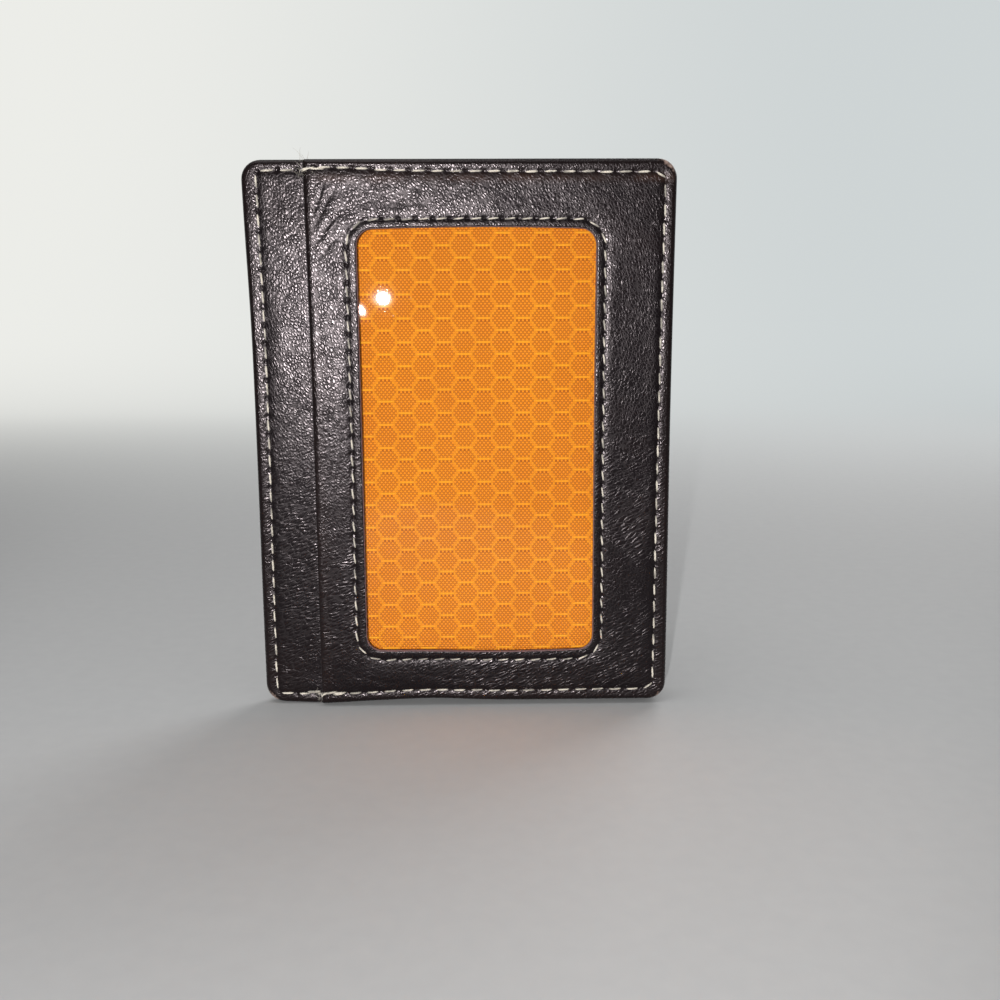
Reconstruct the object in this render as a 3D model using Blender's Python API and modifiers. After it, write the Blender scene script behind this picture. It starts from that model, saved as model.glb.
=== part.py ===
"""Front pocket wallet with a clear ID window, standing on one short edge.

X runs from the mouth side to the closed side, Y from the window side to the card slots, and Z along
the long side. The origin is on the ground under the middle of the wallet. All sizes are in metres.

Layers are placed by depth, which is 0 on the leather of the window side and grows towards the slots.
Three sides are closed: both outer walls have turned edges there, which meet at the seam plane. The
fourth side, at -X, is the natural top, where every pocket has its mouth.
"""

import math

import bmesh
import bpy
from mathutils import Vector

# Outline
WIDTH = 0.078
HEIGHT = 0.102
CORNER_RADIUS = 0.0035
EDGE_ROUND = 0.0004

# Sheet thicknesses
LEATHER = 0.0008
STRIP_LEATHER = 0.0006
TURNED_EDGE = 0.00045
LINING = 0.00015
CLEAR_SHEET = 0.00025

# Clearances and the rooms that things go into. An empty slot lies nearly closed, and its leather gives
# when a card goes in. The ID pocket and the centre pocket take a card as they are.
LAYER_GAP = 0.0001
CARD_THICKNESS = 0.00076
CARD_PLAY = 0.00006
CARD_ROOM = CARD_THICKNESS + CARD_PLAY
SLOT_ROOM = 0.00035

# Turned edges on the closed sides, and the seam allowance that closes the ID pocket
EDGE_WALL = 0.0012
POCKET_MARGIN = 0.0045

# Window side: the strip that shows beside the ID pocket's mouth, and the window's four margins
MOUTH_STRIP = 0.011
STRIP_TUCK = 0.0055
MOUTH_TURN = 0.005
WINDOW_FROM_MOUTH = 0.009
WINDOW_FROM_CLOSED_SIDE = 0.0146
WINDOW_FROM_BOTTOM = 0.010
WINDOW_FROM_TOP = 0.012
WINDOW_RADIUS = 0.003
LINING_SLOPE = 0.001

# Card slots: each mouth lies one step further from the natural top
SLOT_STEP = 0.010
SLOT_FLOOR = 0.002
SLOT_TUCK = 0.006
FLOOR_FLANGE = 0.003
FLOOR_SLOPE = 0.001
WALL_TURN = 0.007

# Thread
SEAM_INSET = 0.0026
STITCH_PITCH = 0.00345
STITCH_LENGTH = 0.0024
THREAD = 0.0005
WINDOW_SEAM_INSET = 0.0018
WINDOW_STITCH_PITCH = 0.0033
STITCH_SLANT = math.radians(12.0)
THREAD_GAP = 0.00005
SEAM_GROOVE_WIDTH = 0.0011
SEAM_GROOVE_DEPTH = 0.0002
FLOOR_SEAM_INSET = 0.005
BACKTACK_STITCHES = 2

# How many straight pieces make a quarter circle, and how far a cutter runs past what it cuts
CORNER_STEPS = 6
ROUND_STEPS = 2
CUT_PAST = 0.002

# A thread's radius in a hole and at a bend, as shares of its full radius, and how it is sampled
THIN = 0.5
BENT = 0.8
MOST_STRAIGHT = math.radians(5.0)
LEAST_STEP = 0.0002

# Depths of the window side, from the front leather to the seam plane
VINYL_DEPTH = LEATHER + LAYER_GAP
ID_FLOOR = LEATHER + TURNED_EDGE + CARD_ROOM
STRIP_BACK = ID_FLOOR + STRIP_LEATHER
FRONT_LINING_DEPTH = STRIP_BACK + LAYER_GAP
FRONT_TURN_DEPTH = FRONT_LINING_DEPTH + LINING + LAYER_GAP
FRONT_INSIDE = FRONT_TURN_DEPTH + TURNED_EDGE
SEAM_PLANE = FRONT_INSIDE + CARD_ROOM / 2

# Depths of the slot side, from the centre pocket to the outermost leather
BACK_INSIDE = FRONT_INSIDE + CARD_ROOM
BACK_LINING_DEPTH = BACK_INSIDE + TURNED_EDGE + LAYER_GAP
BACK_WALL_DEPTH = BACK_LINING_DEPTH + LINING + LAYER_GAP
BACK_WALL_FACE = BACK_WALL_DEPTH + STRIP_LEATHER
SLOT_LAYER = SLOT_ROOM + STRIP_LEATHER
FIRST_SLOT_DEPTH = BACK_WALL_FACE + SLOT_ROOM
SECOND_SLOT_DEPTH = FIRST_SLOT_DEPTH + SLOT_LAYER
PANEL_DEPTH = SECOND_SLOT_DEPTH + SLOT_LAYER
THICKNESS = PANEL_DEPTH + LEATHER

# Places along X
MOUTH_SIDE = -WIDTH / 2
CLOSED_SIDE = WIDTH / 2
ID_MOUTH = MOUTH_SIDE + MOUTH_STRIP
FIRST_MOUTH = MOUTH_SIDE + SLOT_STEP
SECOND_MOUTH = FIRST_MOUTH + SLOT_STEP
THIRD_MOUTH = SECOND_MOUTH + SLOT_STEP
FIRST_FLOOR = CLOSED_SIDE - SLOT_FLOOR - 2 * SLOT_STEP
SECOND_FLOOR = CLOSED_SIDE - SLOT_FLOOR - SLOT_STEP

# Inset of the sheets that lie inside the turned edges
INNER_LAYER = EDGE_WALL + LAYER_GAP

# A strip's tail is skived on both faces: below its own face, and off the cloth that it laps over
TAIL_DROP = 0.0001
TAIL_LAP = LINING + LAYER_GAP

PARTS = "front_pocket_wallet"
CUTTERS = "cutters"


def clear_scene():
    """Removes every object, so that the file holds the wallet alone."""
    for item in list(bpy.data.objects):
        bpy.data.objects.remove(item, do_unlink=True)


def collection(name):
    """The collection of that name, made and linked when it isn't there."""
    group = bpy.data.collections.get(name)
    if group is None:
        group = bpy.data.collections.new(name)
        bpy.context.scene.collection.children.link(group)
    return group


def material(name, colour, roughness, metallic=0.0, alpha=1.0):
    """A plain finish for one piece."""
    finish = bpy.data.materials.new(name)
    finish.use_nodes = True
    shader = finish.node_tree.nodes["Principled BSDF"]
    shader.inputs["Base Color"].default_value = (*colour, 1.0)
    shader.inputs["Roughness"].default_value = roughness
    shader.inputs["Metallic"].default_value = metallic
    shader.inputs["Alpha"].default_value = alpha
    return finish


def depth_to_y(depth):
    """The Y of a depth: the stack of sheets is centred on Y = 0."""
    return depth - THICKNESS / 2


def box_outline(x0, x1, z0, z1):
    """Corners of a plain rectangle, each with a radius of 0."""
    return [(x0, z0, 0.0), (x1, z0, 0.0), (x1, z1, 0.0), (x0, z1, 0.0)]


def band_outline(x0, x1, inset):
    """The wallet's outline, inset all round, cut to the band from x0 to x1.

    A corner of the band that reaches the inset outline takes that outline's corner radius.
    """
    left = MOUTH_SIDE + inset
    right = CLOSED_SIDE - inset
    radius = max(CORNER_RADIUS - inset, 0.0)
    left_radius = radius if x0 <= left else 0.0
    right_radius = radius if x1 >= right else 0.0
    x0 = max(x0, left)
    x1 = min(x1, right)
    z0 = inset
    z1 = HEIGHT - inset
    lower = [(x0, z0, left_radius), (x1, z0, right_radius)]
    upper = [(x1, z1, right_radius), (x0, z1, left_radius)]
    return lower + upper


def rounded_path(corners, closed=True):
    """Points along an outline whose corners are arcs. Corners turn counter-clockwise by a right angle."""
    points = []
    count = len(corners)
    for index, (x, z, radius) in enumerate(corners):
        is_end = not closed and index in (0, count - 1)
        if radius <= 0.0 or is_end:
            points.append(Vector((x, z)))
            continue
        corner = Vector((x, z))
        before = (Vector(corners[index - 1][:2]) - corner).normalized()
        after = (Vector(corners[(index + 1) % count][:2]) - corner).normalized()
        centre = corner + (before + after) * radius
        for step in range(CORNER_STEPS + 1):
            angle = math.pi / 2 * step / CORNER_STEPS
            points.append(centre - after * radius * math.cos(angle) - before * radius * math.sin(angle))
    return points


def slab(name, corners, near, far, group=PARTS):
    """A closed flat sheet with this outline, between two depths."""
    outline = bpy.data.curves.new(name, "CURVE")
    outline.dimensions = "2D"
    outline.fill_mode = "BOTH"
    outline.extrude = (far - near) / 2
    points = rounded_path(corners)
    spline = outline.splines.new("POLY")
    spline.points.add(len(points) - 1)
    for target, point in zip(spline.points, points):
        target.co = (point.x, point.y, 0.0, 1.0)
    spline.use_cyclic_u = True
    drawn = bpy.data.objects.new(name + "_outline", outline)
    bpy.context.scene.collection.objects.link(drawn)
    drawn.rotation_euler = (math.pi / 2, 0.0, 0.0)
    drawn.location = (0.0, depth_to_y((near + far) / 2), 0.0)
    bpy.context.view_layer.update()
    seen = drawn.evaluated_get(bpy.context.evaluated_depsgraph_get())
    mesh = bpy.data.meshes.new_from_object(seen)
    mesh.name = name
    sheet = bpy.data.objects.new(name, mesh)
    sheet.matrix_world = drawn.matrix_world.copy()
    bpy.data.objects.remove(drawn, do_unlink=True)
    collection(group).objects.link(sheet)
    work = bmesh.new()
    work.from_mesh(mesh)
    bmesh.ops.remove_doubles(work, verts=work.verts, dist=1e-7)
    bmesh.ops.recalc_face_normals(work, faces=work.faces)
    work.to_mesh(mesh)
    work.free()
    if group == CUTTERS:
        sheet.hide_render = True
        sheet.display_type = "WIRE"
    return sheet


def round_face_edge(sheet, depth):
    """Rounds the edge of the sheet's face at this depth, as leather turned over an edge is."""
    work = bmesh.new()
    work.from_mesh(sheet.data)
    level = depth_to_y(depth)
    turn = sheet.matrix_world

    def on_face(vertex):
        return abs((turn @ vertex.co).y - level) < 1e-6

    rim = [edge for edge in work.edges if len(edge.link_faces) == 2 and edge.calc_face_angle() > 1.0]
    rim = [edge for edge in rim if on_face(edge.verts[0]) and on_face(edge.verts[1])]
    bmesh.ops.bevel(
        work,
        geom=rim,
        offset=EDGE_ROUND,
        offset_type="OFFSET",
        segments=ROUND_STEPS,
        profile=0.5,
        affect="EDGES",
    )
    work.to_mesh(sheet.data)
    work.free()


def combine(piece, other, operation):
    """Applies one exact Boolean to a piece. What is added to it is removed afterwards."""
    change = piece.modifiers.new(operation.lower() + "_" + other.name, "BOOLEAN")
    change.operation = operation
    change.solver = "EXACT"
    change.object = other
    if operation == "UNION":
        bpy.context.view_layer.update()
        seen = piece.evaluated_get(bpy.context.evaluated_depsgraph_get())
        mesh = bpy.data.meshes.new_from_object(seen)
        piece.modifiers.clear()
        piece.data = mesh
        bpy.data.objects.remove(other, do_unlink=True)


def cut(piece, name, corners, near, far):
    """Takes a slab-shaped room out of a piece."""
    combine(piece, slab(f"{piece.name}_{name}", corners, near, far, CUTTERS), "DIFFERENCE")


def finish(piece, look):
    """Gives a piece its finish, with smooth rounds and sharp corners."""
    piece.data.materials.clear()
    piece.data.materials.append(look)
    piece.data.shade_smooth()
    piece.data.set_sharp_from_angle(angle=math.radians(35.0))
    return piece


def groove(piece, name, outer, inner, near, far):
    """Presses a channel for the thread into a face, between two outlines."""
    ring = slab(f"{piece.name}_{name}", outer, near, far, CUTTERS)
    core = slab(f"{piece.name}_{name}_core", inner, near - CUT_PAST, far + CUT_PAST, CUTTERS)
    combine(ring, core, "DIFFERENCE")
    combine(piece, ring, "DIFFERENCE")


def groove_floor(face, facing):
    """Depth of the floor of a seam's groove in a face. facing is -1 to the window side, 1 to the slots."""
    return face - facing * SEAM_GROOVE_DEPTH


def seam_groove(piece, x0, x1, face, facing):
    """The channel of the outer seam in a face, on the part of a piece between x0 and x1."""
    half = SEAM_GROOVE_WIDTH / 2
    outer = band_outline(x0, x1, SEAM_INSET - half)
    inner = band_outline(x0 - CUT_PAST, x1 + CUT_PAST, SEAM_INSET + half)
    near, far = sorted((groove_floor(face, facing), face + facing * CUT_PAST))
    groove(piece, "seam_groove", outer, inner, near, far)


def window_place(outwards):
    """Corners of the window, grown outwards by a distance."""
    x0 = ID_MOUTH + WINDOW_FROM_MOUTH - outwards
    x1 = CLOSED_SIDE - WINDOW_FROM_CLOSED_SIDE + outwards
    z0 = WINDOW_FROM_BOTTOM - outwards
    z1 = HEIGHT - WINDOW_FROM_TOP + outwards
    radius = WINDOW_RADIUS + outwards
    return [(x0, z0, radius), (x1, z0, radius), (x1, z1, radius), (x0, z1, radius)]


def id_pocket_limits():
    """X and Z limits of the ID pocket, inside its seam allowance."""
    return ID_MOUTH + MOUTH_TURN, CLOSED_SIDE - POCKET_MARGIN, POCKET_MARGIN, HEIGHT - POCKET_MARGIN


def make_window_panel(look):
    """Leather of the ID pocket: a turned mouth, a window, and turned edges down to the seam plane."""
    seam_face = SEAM_PLANE - LAYER_GAP / 2
    panel = slab("window_panel", band_outline(ID_MOUTH, CLOSED_SIDE, 0.0), 0.0, seam_face)
    round_face_edge(panel, 0.0)
    x0, x1, z0, z1 = id_pocket_limits()
    before_mouth = ID_MOUTH - CUT_PAST
    wall_room = band_outline(before_mouth, CLOSED_SIDE, EDGE_WALL)
    cut(panel, "wall_room", wall_room, ID_FLOOR - LAYER_GAP, SEAM_PLANE + CUT_PAST)
    cut(panel, "card_room", box_outline(x0, x1, z0, z1), LEATHER, ID_FLOOR)
    mouth_room = box_outline(before_mouth, x0 + CUT_PAST, z0, z1)
    cut(panel, "mouth_room", mouth_room, LEATHER + TURNED_EDGE, ID_FLOOR)
    cut(panel, "window", window_place(0.0), -CUT_PAST, VINYL_DEPTH)
    seam_groove(panel, before_mouth, CLOSED_SIDE, 0.0, -1)
    half = SEAM_GROOVE_WIDTH / 2
    channel = (window_place(WINDOW_SEAM_INSET + half), window_place(WINDOW_SEAM_INSET - half))
    groove(panel, "window_groove", *channel, -CUT_PAST, SEAM_GROOVE_DEPTH)
    return finish(panel, look)


def make_id_window(look):
    """Clear sheet behind the window. It fills the ID pocket's face, clear of the turned mouth."""
    x0, x1, z0, z1 = id_pocket_limits()
    outline = box_outline(x0 + LAYER_GAP, x1 - LAYER_GAP, z0 + LAYER_GAP, z1 - LAYER_GAP)
    return finish(slab("id_window", outline, VINYL_DEPTH, VINYL_DEPTH + CLEAR_SHEET), look)


def make_inner_sheet(name, x0, x1, near, far, look):
    """A flat sheet that lies inside the turned edges of both outer walls."""
    return finish(slab(name, band_outline(x0, x1, INNER_LAYER), near, far), look)


def make_compartment_lining(name, depth, look):
    """Cloth of one wall of the centre pocket, which starts inside the mouth's turned leather."""
    start = MOUTH_SIDE + STRIP_LEATHER + LAYER_GAP
    return make_inner_sheet(name, start, CLOSED_SIDE, depth, depth + LINING, look)


def make_front_strip(look):
    """Leather beside the ID mouth, turned round the wallet's mouth side onto the centre pocket."""
    seam_face = SEAM_PLANE - LAYER_GAP / 2
    strip = slab("front_strip", band_outline(MOUTH_SIDE, ID_MOUTH - LAYER_GAP, 0.0), ID_FLOOR, seam_face)
    round_face_edge(strip, ID_FLOOR)
    tail_outline = band_outline(ID_MOUTH - MOUTH_STRIP / 2, ID_MOUTH + STRIP_TUCK, INNER_LAYER)
    tail = slab("front_strip_tail", tail_outline, ID_FLOOR + TAIL_DROP, STRIP_BACK - TAIL_LAP)
    combine(strip, tail, "UNION")
    past = ID_MOUTH + STRIP_TUCK + CUT_PAST
    under_face = band_outline(MOUTH_SIDE + STRIP_LEATHER, past, EDGE_WALL)
    behind_turn = band_outline(MOUTH_SIDE + WALL_TURN, past, EDGE_WALL)
    centre = box_outline(MOUTH_SIDE - CUT_PAST, past, EDGE_WALL, HEIGHT - EDGE_WALL)
    cut(strip, "lining_room", under_face, STRIP_BACK, FRONT_TURN_DEPTH)
    cut(strip, "behind_turn", behind_turn, STRIP_BACK, SEAM_PLANE + CUT_PAST)
    cut(strip, "centre_room", centre, FRONT_INSIDE, SEAM_PLANE + CUT_PAST)
    seam_groove(strip, MOUTH_SIDE, ID_MOUTH + CUT_PAST, ID_FLOOR, -1)
    return finish(strip, look)


def make_back_strip(look):
    """Leather of the slot side's wall, turned round the mouth side onto the centre pocket."""
    seam_face = SEAM_PLANE + LAYER_GAP / 2
    outline = band_outline(MOUTH_SIDE, FIRST_MOUTH - LAYER_GAP, 0.0)
    strip = slab("back_strip", outline, seam_face, BACK_WALL_FACE)
    round_face_edge(strip, BACK_WALL_FACE)
    tail_outline = band_outline(FIRST_MOUTH - SLOT_STEP / 2, FIRST_MOUTH + SLOT_TUCK, INNER_LAYER)
    tail = slab("back_strip_tail", tail_outline, BACK_WALL_DEPTH + TAIL_LAP, BACK_WALL_FACE - TAIL_DROP)
    combine(strip, tail, "UNION")
    past = FIRST_MOUTH + SLOT_TUCK + CUT_PAST
    under_face = band_outline(MOUTH_SIDE + STRIP_LEATHER, past, EDGE_WALL)
    behind_turn = band_outline(MOUTH_SIDE + WALL_TURN, past, EDGE_WALL)
    centre = box_outline(MOUTH_SIDE - CUT_PAST, past, EDGE_WALL, HEIGHT - EDGE_WALL)
    turn_depth = BACK_INSIDE + TURNED_EDGE
    cut(strip, "lining_room", under_face, turn_depth, BACK_WALL_DEPTH)
    cut(strip, "behind_turn", behind_turn, SEAM_PLANE - CUT_PAST, BACK_WALL_DEPTH)
    cut(strip, "centre_room", centre, SEAM_PLANE - CUT_PAST, BACK_INSIDE)
    seam_groove(strip, MOUTH_SIDE, FIRST_MOUTH + CUT_PAST, BACK_WALL_FACE, 1)
    return finish(strip, look)


def make_slot_strip(name, mouth, next_mouth, depth, look):
    """Leather at a slot's mouth: it shows as far as the next mouth, and its tail is tucked under."""
    face = depth + STRIP_LEATHER
    seam_face = SEAM_PLANE + LAYER_GAP / 2
    strip = slab(name, band_outline(mouth, next_mouth - LAYER_GAP, 0.0), seam_face, face)
    round_face_edge(strip, face)
    tail_outline = band_outline(next_mouth - SLOT_STEP / 2, next_mouth + SLOT_TUCK, INNER_LAYER)
    tail = slab(name + "_tail", tail_outline, depth + TAIL_LAP, face - TAIL_DROP)
    combine(strip, tail, "UNION")
    past = next_mouth + SLOT_TUCK + CUT_PAST
    room = box_outline(mouth - CUT_PAST, past, EDGE_WALL, HEIGHT - EDGE_WALL)
    cut(strip, "room", room, SEAM_PLANE - CUT_PAST, depth)
    seam_groove(strip, mouth - CUT_PAST, next_mouth + CUT_PAST, face, 1)
    return finish(strip, look)


def make_back_panel(look):
    """Leather of the outermost card slot, with turned edges up to the seam plane."""
    seam_face = SEAM_PLANE + LAYER_GAP / 2
    panel = slab("back_pocket_panel", band_outline(THIRD_MOUTH, CLOSED_SIDE, 0.0), seam_face, THICKNESS)
    round_face_edge(panel, THICKNESS)
    room = band_outline(THIRD_MOUTH - CUT_PAST, CLOSED_SIDE, EDGE_WALL)
    cut(panel, "room", room, SEAM_PLANE - CUT_PAST, PANEL_DEPTH)
    seam_groove(panel, THIRD_MOUTH - CUT_PAST, CLOSED_SIDE, THICKNESS, 1)
    return finish(panel, look)


def make_bent_sheet(name, profile, look):
    """A sheet of cloth that runs the wallet's length inside its walls.

    profile lists its bends from the mouth side to the closed side, as X and the depth of its first face.
    """
    work = bmesh.new()
    rows = []
    for x, depth in profile:
        y = depth_to_y(depth + LINING / 2)
        rows.append([work.verts.new((x, y, z)) for z in (INNER_LAYER, HEIGHT - INNER_LAYER)])
    for first, second in zip(rows, rows[1:]):
        work.faces.new((first[0], second[0], second[1], first[1]))
    mesh = bpy.data.meshes.new(name)
    work.to_mesh(mesh)
    work.free()
    cloth = bpy.data.objects.new(name, mesh)
    collection(PARTS).objects.link(cloth)
    wall = cloth.modifiers.new("cloth", "SOLIDIFY")
    wall.thickness = LINING
    wall.offset = 0.0
    wall.use_even_offset = True
    return finish(cloth, look)


def make_lapped_lining(name, mouth, tuck, from_depth, to_depth, look):
    """Cloth that starts under a strip's tail and slopes to another depth once it is past the tail."""
    lap_start = mouth + LAYER_GAP
    lap_end = mouth + tuck + LAYER_GAP
    profile = [
        (lap_start, from_depth),
        (lap_end, from_depth),
        (lap_end + LINING_SLOPE, to_depth),
        (CLOSED_SIDE, to_depth),
    ]
    cloth = make_bent_sheet(name, profile, look)
    trim = slab(name + "_trim", band_outline(mouth, CLOSED_SIDE, INNER_LAYER), 0.0, THICKNESS, CUTTERS)
    combine(cloth, trim, "INTERSECT")
    return cloth


def make_slot_lining(name, start, floor, depth, look):
    """Cloth of a card slot: flat down to the floor, then sloped onto the wall, where it is sewn."""
    low = BACK_WALL_FACE + LAYER_GAP
    profile = [
        (start, depth),
        (floor - FLOOR_SLOPE, depth),
        (floor, low),
        (floor + FLOOR_FLANGE, low),
    ]
    return make_bent_sheet(name, profile, look)


def run_length(points):
    """Length of a path."""
    return sum((b - a).length for a, b in zip(points, points[1:]))


def point_along(points, distance):
    """The place and direction at a distance along a path."""
    for a, b in zip(points, points[1:]):
        step = (b - a).length
        if distance <= step:
            return a + (b - a) * (distance / step), (b - a).normalized()
        distance -= step
    return points[-1], (points[-1] - points[-2]).normalized()


def thread_point(place, floor, facing, swell):
    """A point of a thread that rests on a floor depth, with its radius as a share of the full one."""
    radius = THREAD / 2 * swell
    return place.x, place.y, floor + facing * (THREAD_GAP + radius), swell


def bends(points):
    """Distances along a path at which it turns."""
    distances = []
    total = 0.0
    for before, here, after in zip(points, points[1:], points[2:]):
        total += (here - before).length
        if (here - before).angle(after - here) > MOST_STRAIGHT:
            distances.append(total)
    return distances


def stitched_run(points, floor, facing, pitch, slant=0.0):
    """Thread over a path: thick in the middle of each stitch, thin where it dives into a hole.

    With a slant, each stitch starts on one side of the path and ends on the other.
    """
    total = run_length(points)
    count = max(round(total / pitch), 1)
    cell = total / count
    reach = STITCH_LENGTH / 2
    aside = reach * math.tan(slant)
    marks = []
    for index in range(count):
        middle = cell * (index + 0.5)
        if slant:
            marks += [(middle - reach, THIN, -aside), (middle, 1.0, 0.0), (middle + reach, THIN, aside)]
        else:
            marks += [(cell * index, THIN, 0.0), (middle, 1.0, 0.0)]
    if not slant:
        marks.append((total, THIN, 0.0))
    for distance in bends(points):
        if min(abs(distance - mark[0]) for mark in marks) > LEAST_STEP:
            marks.append((distance, BENT, 0.0))
    run = []
    for distance, swell, offset in sorted(marks):
        place, direction = point_along(points, distance)
        side = Vector((-direction.y, direction.x))
        run.append(thread_point(place + side * offset, floor, facing, swell))
    return run


def thread(name, points, look, closed):
    """One unbroken thread through these points: a tube whose radius swells over each stitch."""
    line = bpy.data.curves.new(name, "CURVE")
    line.dimensions = "3D"
    line.bevel_depth = THREAD / 2
    line.bevel_resolution = 0
    line.use_fill_caps = not closed
    spline = line.splines.new("POLY")
    spline.points.add(len(points) - 1)
    for target, (x, z, depth, swell) in zip(spline.points, points):
        target.co = (x, depth_to_y(depth), z, 1.0)
        target.radius = swell
    spline.use_cyclic_u = closed
    tube = bpy.data.objects.new(name, line)
    collection(PARTS).objects.link(tube)
    line.materials.append(look)
    return tube


def straight(x0, x1, z):
    """A straight path along X."""
    return [Vector((x0, z)), Vector((x1, z))]


def stepped_seam(name, bands, facing, look):
    """The outer seam of one side as one loop of thread.

    bands lists the leather that it crosses, from the closed side to the mouth side, each as the X
    where that leather starts and the depth of its groove's floor. The thread climbs every step just
    outside it.
    """
    low = SEAM_INSET
    high = HEIGHT - SEAM_INSET
    radius = CORNER_RADIUS - SEAM_INSET
    climb = LAYER_GAP + THREAD / 2
    first_x, first_floor = bands[0]
    last_x, last_floor = bands[-1]
    right = CLOSED_SIDE - SEAM_INSET
    left = MOUTH_SIDE + SEAM_INSET
    outside = [(first_x, low, 0.0), (right, low, radius), (right, high, radius), (first_x, high, 0.0)]
    points = stitched_run(rounded_path(outside, closed=False), first_floor, facing, STITCH_PITCH)
    downs = []
    for (upper_x, upper_floor), (lower_x, lower_floor) in zip(bands, bands[1:]):
        foot = upper_x - climb
        down = [
            thread_point(Vector((foot, high)), upper_floor, facing, THIN),
            thread_point(Vector((foot, high)), lower_floor, facing, THIN),
        ]
        if lower_x != last_x:
            path = straight(foot - climb, lower_x, high)
            down += stitched_run(path, lower_floor, facing, STITCH_PITCH)
        downs.append(down)
    for down in downs:
        points += down
    foot = bands[-2][0] - 2 * climb
    turn = [(foot, high, 0.0), (left, high, radius), (left, low, radius), (foot, low, 0.0)]
    points += stitched_run(rounded_path(turn, closed=False), last_floor, facing, STITCH_PITCH)
    for down in reversed(downs):
        points += [(x, HEIGHT - z, depth, swell) for x, z, depth, swell in reversed(down)]
    return thread(name, points, look, closed=True)


def make_front_stitching(look):
    """The outer seam on the window side: round the ID pocket, then lower down on the strip."""
    bands = [(ID_MOUTH, groove_floor(0.0, -1)), (MOUTH_SIDE, groove_floor(ID_FLOOR, -1))]
    return stepped_seam("front_stitching", bands, -1, look)


def make_back_stitching(look):
    """The outer seam on the slot side, which steps down from slot to slot towards the mouth side."""
    bands = [
        (THIRD_MOUTH, groove_floor(THICKNESS, 1)),
        (SECOND_MOUTH, groove_floor(SECOND_SLOT_DEPTH + STRIP_LEATHER, 1)),
        (FIRST_MOUTH, groove_floor(FIRST_SLOT_DEPTH + STRIP_LEATHER, 1)),
        (MOUTH_SIDE, groove_floor(BACK_WALL_FACE, 1)),
    ]
    return stepped_seam("back_stitching", bands, 1, look)


def make_backtack(name, z, inwards, look):
    """A second thread beside the outer seam, which reinforces one end of the ID pocket's mouth."""
    start = ID_MOUTH + THREAD
    beside = z + inwards * (SEAM_GROOVE_WIDTH / 2 + THREAD / 2)
    path = straight(start, start + BACKTACK_STITCHES * STITCH_PITCH, beside)
    return thread(name, stitched_run(path, 0.0, -1, STITCH_PITCH), look, closed=False)


def make_window_stitching(look):
    """The seam round the window, with slanted stitches, which holds the clear sheet."""
    path = rounded_path(window_place(WINDOW_SEAM_INSET))
    path.append(path[0])
    points = stitched_run(path, groove_floor(0.0, -1), -1, WINDOW_STITCH_PITCH, STITCH_SLANT)
    return thread("window_stitching", points, look, closed=True)


def make_floor_stitching(name, floor, look):
    """The hidden seam that holds a slot's cloth to the wall along its floor."""
    x = floor + FLOOR_FLANGE / 2
    path = [Vector((x, FLOOR_SEAM_INSET)), Vector((x, HEIGHT - FLOOR_SEAM_INSET))]
    cloth_face = BACK_WALL_FACE + LAYER_GAP + LINING
    return thread(name, stitched_run(path, cloth_face, 1, STITCH_PITCH), look, closed=False)


def make_finishes():
    """The wallet's finishes, by name."""
    return {
        "leather": material("dark_brown_leather", (0.030, 0.020, 0.019), 0.42),
        "orange": material("orange_ripstop", (0.87, 0.26, 0.012), 0.55),
        "lining": material("brown_lining_cloth", (0.045, 0.032, 0.028), 0.75),
        "clear": material("clear_vinyl", (0.95, 0.95, 0.95), 0.08, alpha=0.15),
        "board": material("grey_bonded_board", (0.30, 0.28, 0.25), 0.9),
        "thread": material("cream_thread", (0.70, 0.62, 0.48), 0.6),
    }


def make_window_side(looks):
    """Everything between the front leather and the centre pocket."""
    leather, orange, cream = looks["leather"], looks["orange"], looks["thread"]
    make_window_panel(leather)
    make_id_window(looks["clear"])
    make_front_strip(leather)
    under_tail = STRIP_BACK - LINING
    make_lapped_lining("id_pocket_lining", ID_MOUTH, STRIP_TUCK, under_tail, ID_FLOOR, orange)
    board_start = ID_MOUTH + STRIP_TUCK + LINING_SLOPE + 2 * LAYER_GAP
    board_depth = ID_FLOOR + LINING + LAYER_GAP
    make_inner_sheet("front_board", board_start, CLOSED_SIDE, board_depth, STRIP_BACK, looks["board"])
    make_compartment_lining("front_compartment_lining", FRONT_LINING_DEPTH, orange)
    make_window_stitching(cream)
    make_front_stitching(cream)
    make_backtack("lower_mouth_backtack", SEAM_INSET, 1, cream)
    make_backtack("upper_mouth_backtack", HEIGHT - SEAM_INSET, -1, cream)


def make_slot_side(looks):
    """Everything between the centre pocket and the outermost leather."""
    leather, cloth, cream = looks["leather"], looks["lining"], looks["thread"]
    make_compartment_lining("back_compartment_lining", BACK_LINING_DEPTH, looks["orange"])
    make_back_strip(leather)
    wall_cloth = BACK_WALL_FACE - LINING
    make_lapped_lining("back_wall_lining", FIRST_MOUTH, SLOT_TUCK, BACK_WALL_DEPTH, wall_cloth, cloth)
    board_start = FIRST_MOUTH + SLOT_TUCK + LINING_SLOPE + 2 * LAYER_GAP
    board_back = wall_cloth - LAYER_GAP
    make_inner_sheet("back_board", board_start, CLOSED_SIDE, BACK_WALL_DEPTH, board_back, looks["board"])
    slots = [
        ("first", FIRST_MOUTH, SECOND_MOUTH, FIRST_SLOT_DEPTH, FIRST_FLOOR),
        ("second", SECOND_MOUTH, THIRD_MOUTH, SECOND_SLOT_DEPTH, SECOND_FLOOR),
    ]
    for order, mouth, next_mouth, depth, floor in slots:
        make_slot_strip(f"{order}_slot_strip", mouth, next_mouth, depth, leather)
        make_slot_lining(f"{order}_slot_lining", next_mouth + LAYER_GAP, floor, depth, cloth)
        make_floor_stitching(f"{order}_slot_floor_stitching", floor, cream)
    make_back_panel(leather)
    make_back_stitching(cream)


def main():
    clear_scene()
    looks = make_finishes()
    make_window_side(looks)
    make_slot_side(looks)
    bpy.context.view_layer.update()


main()
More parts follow.
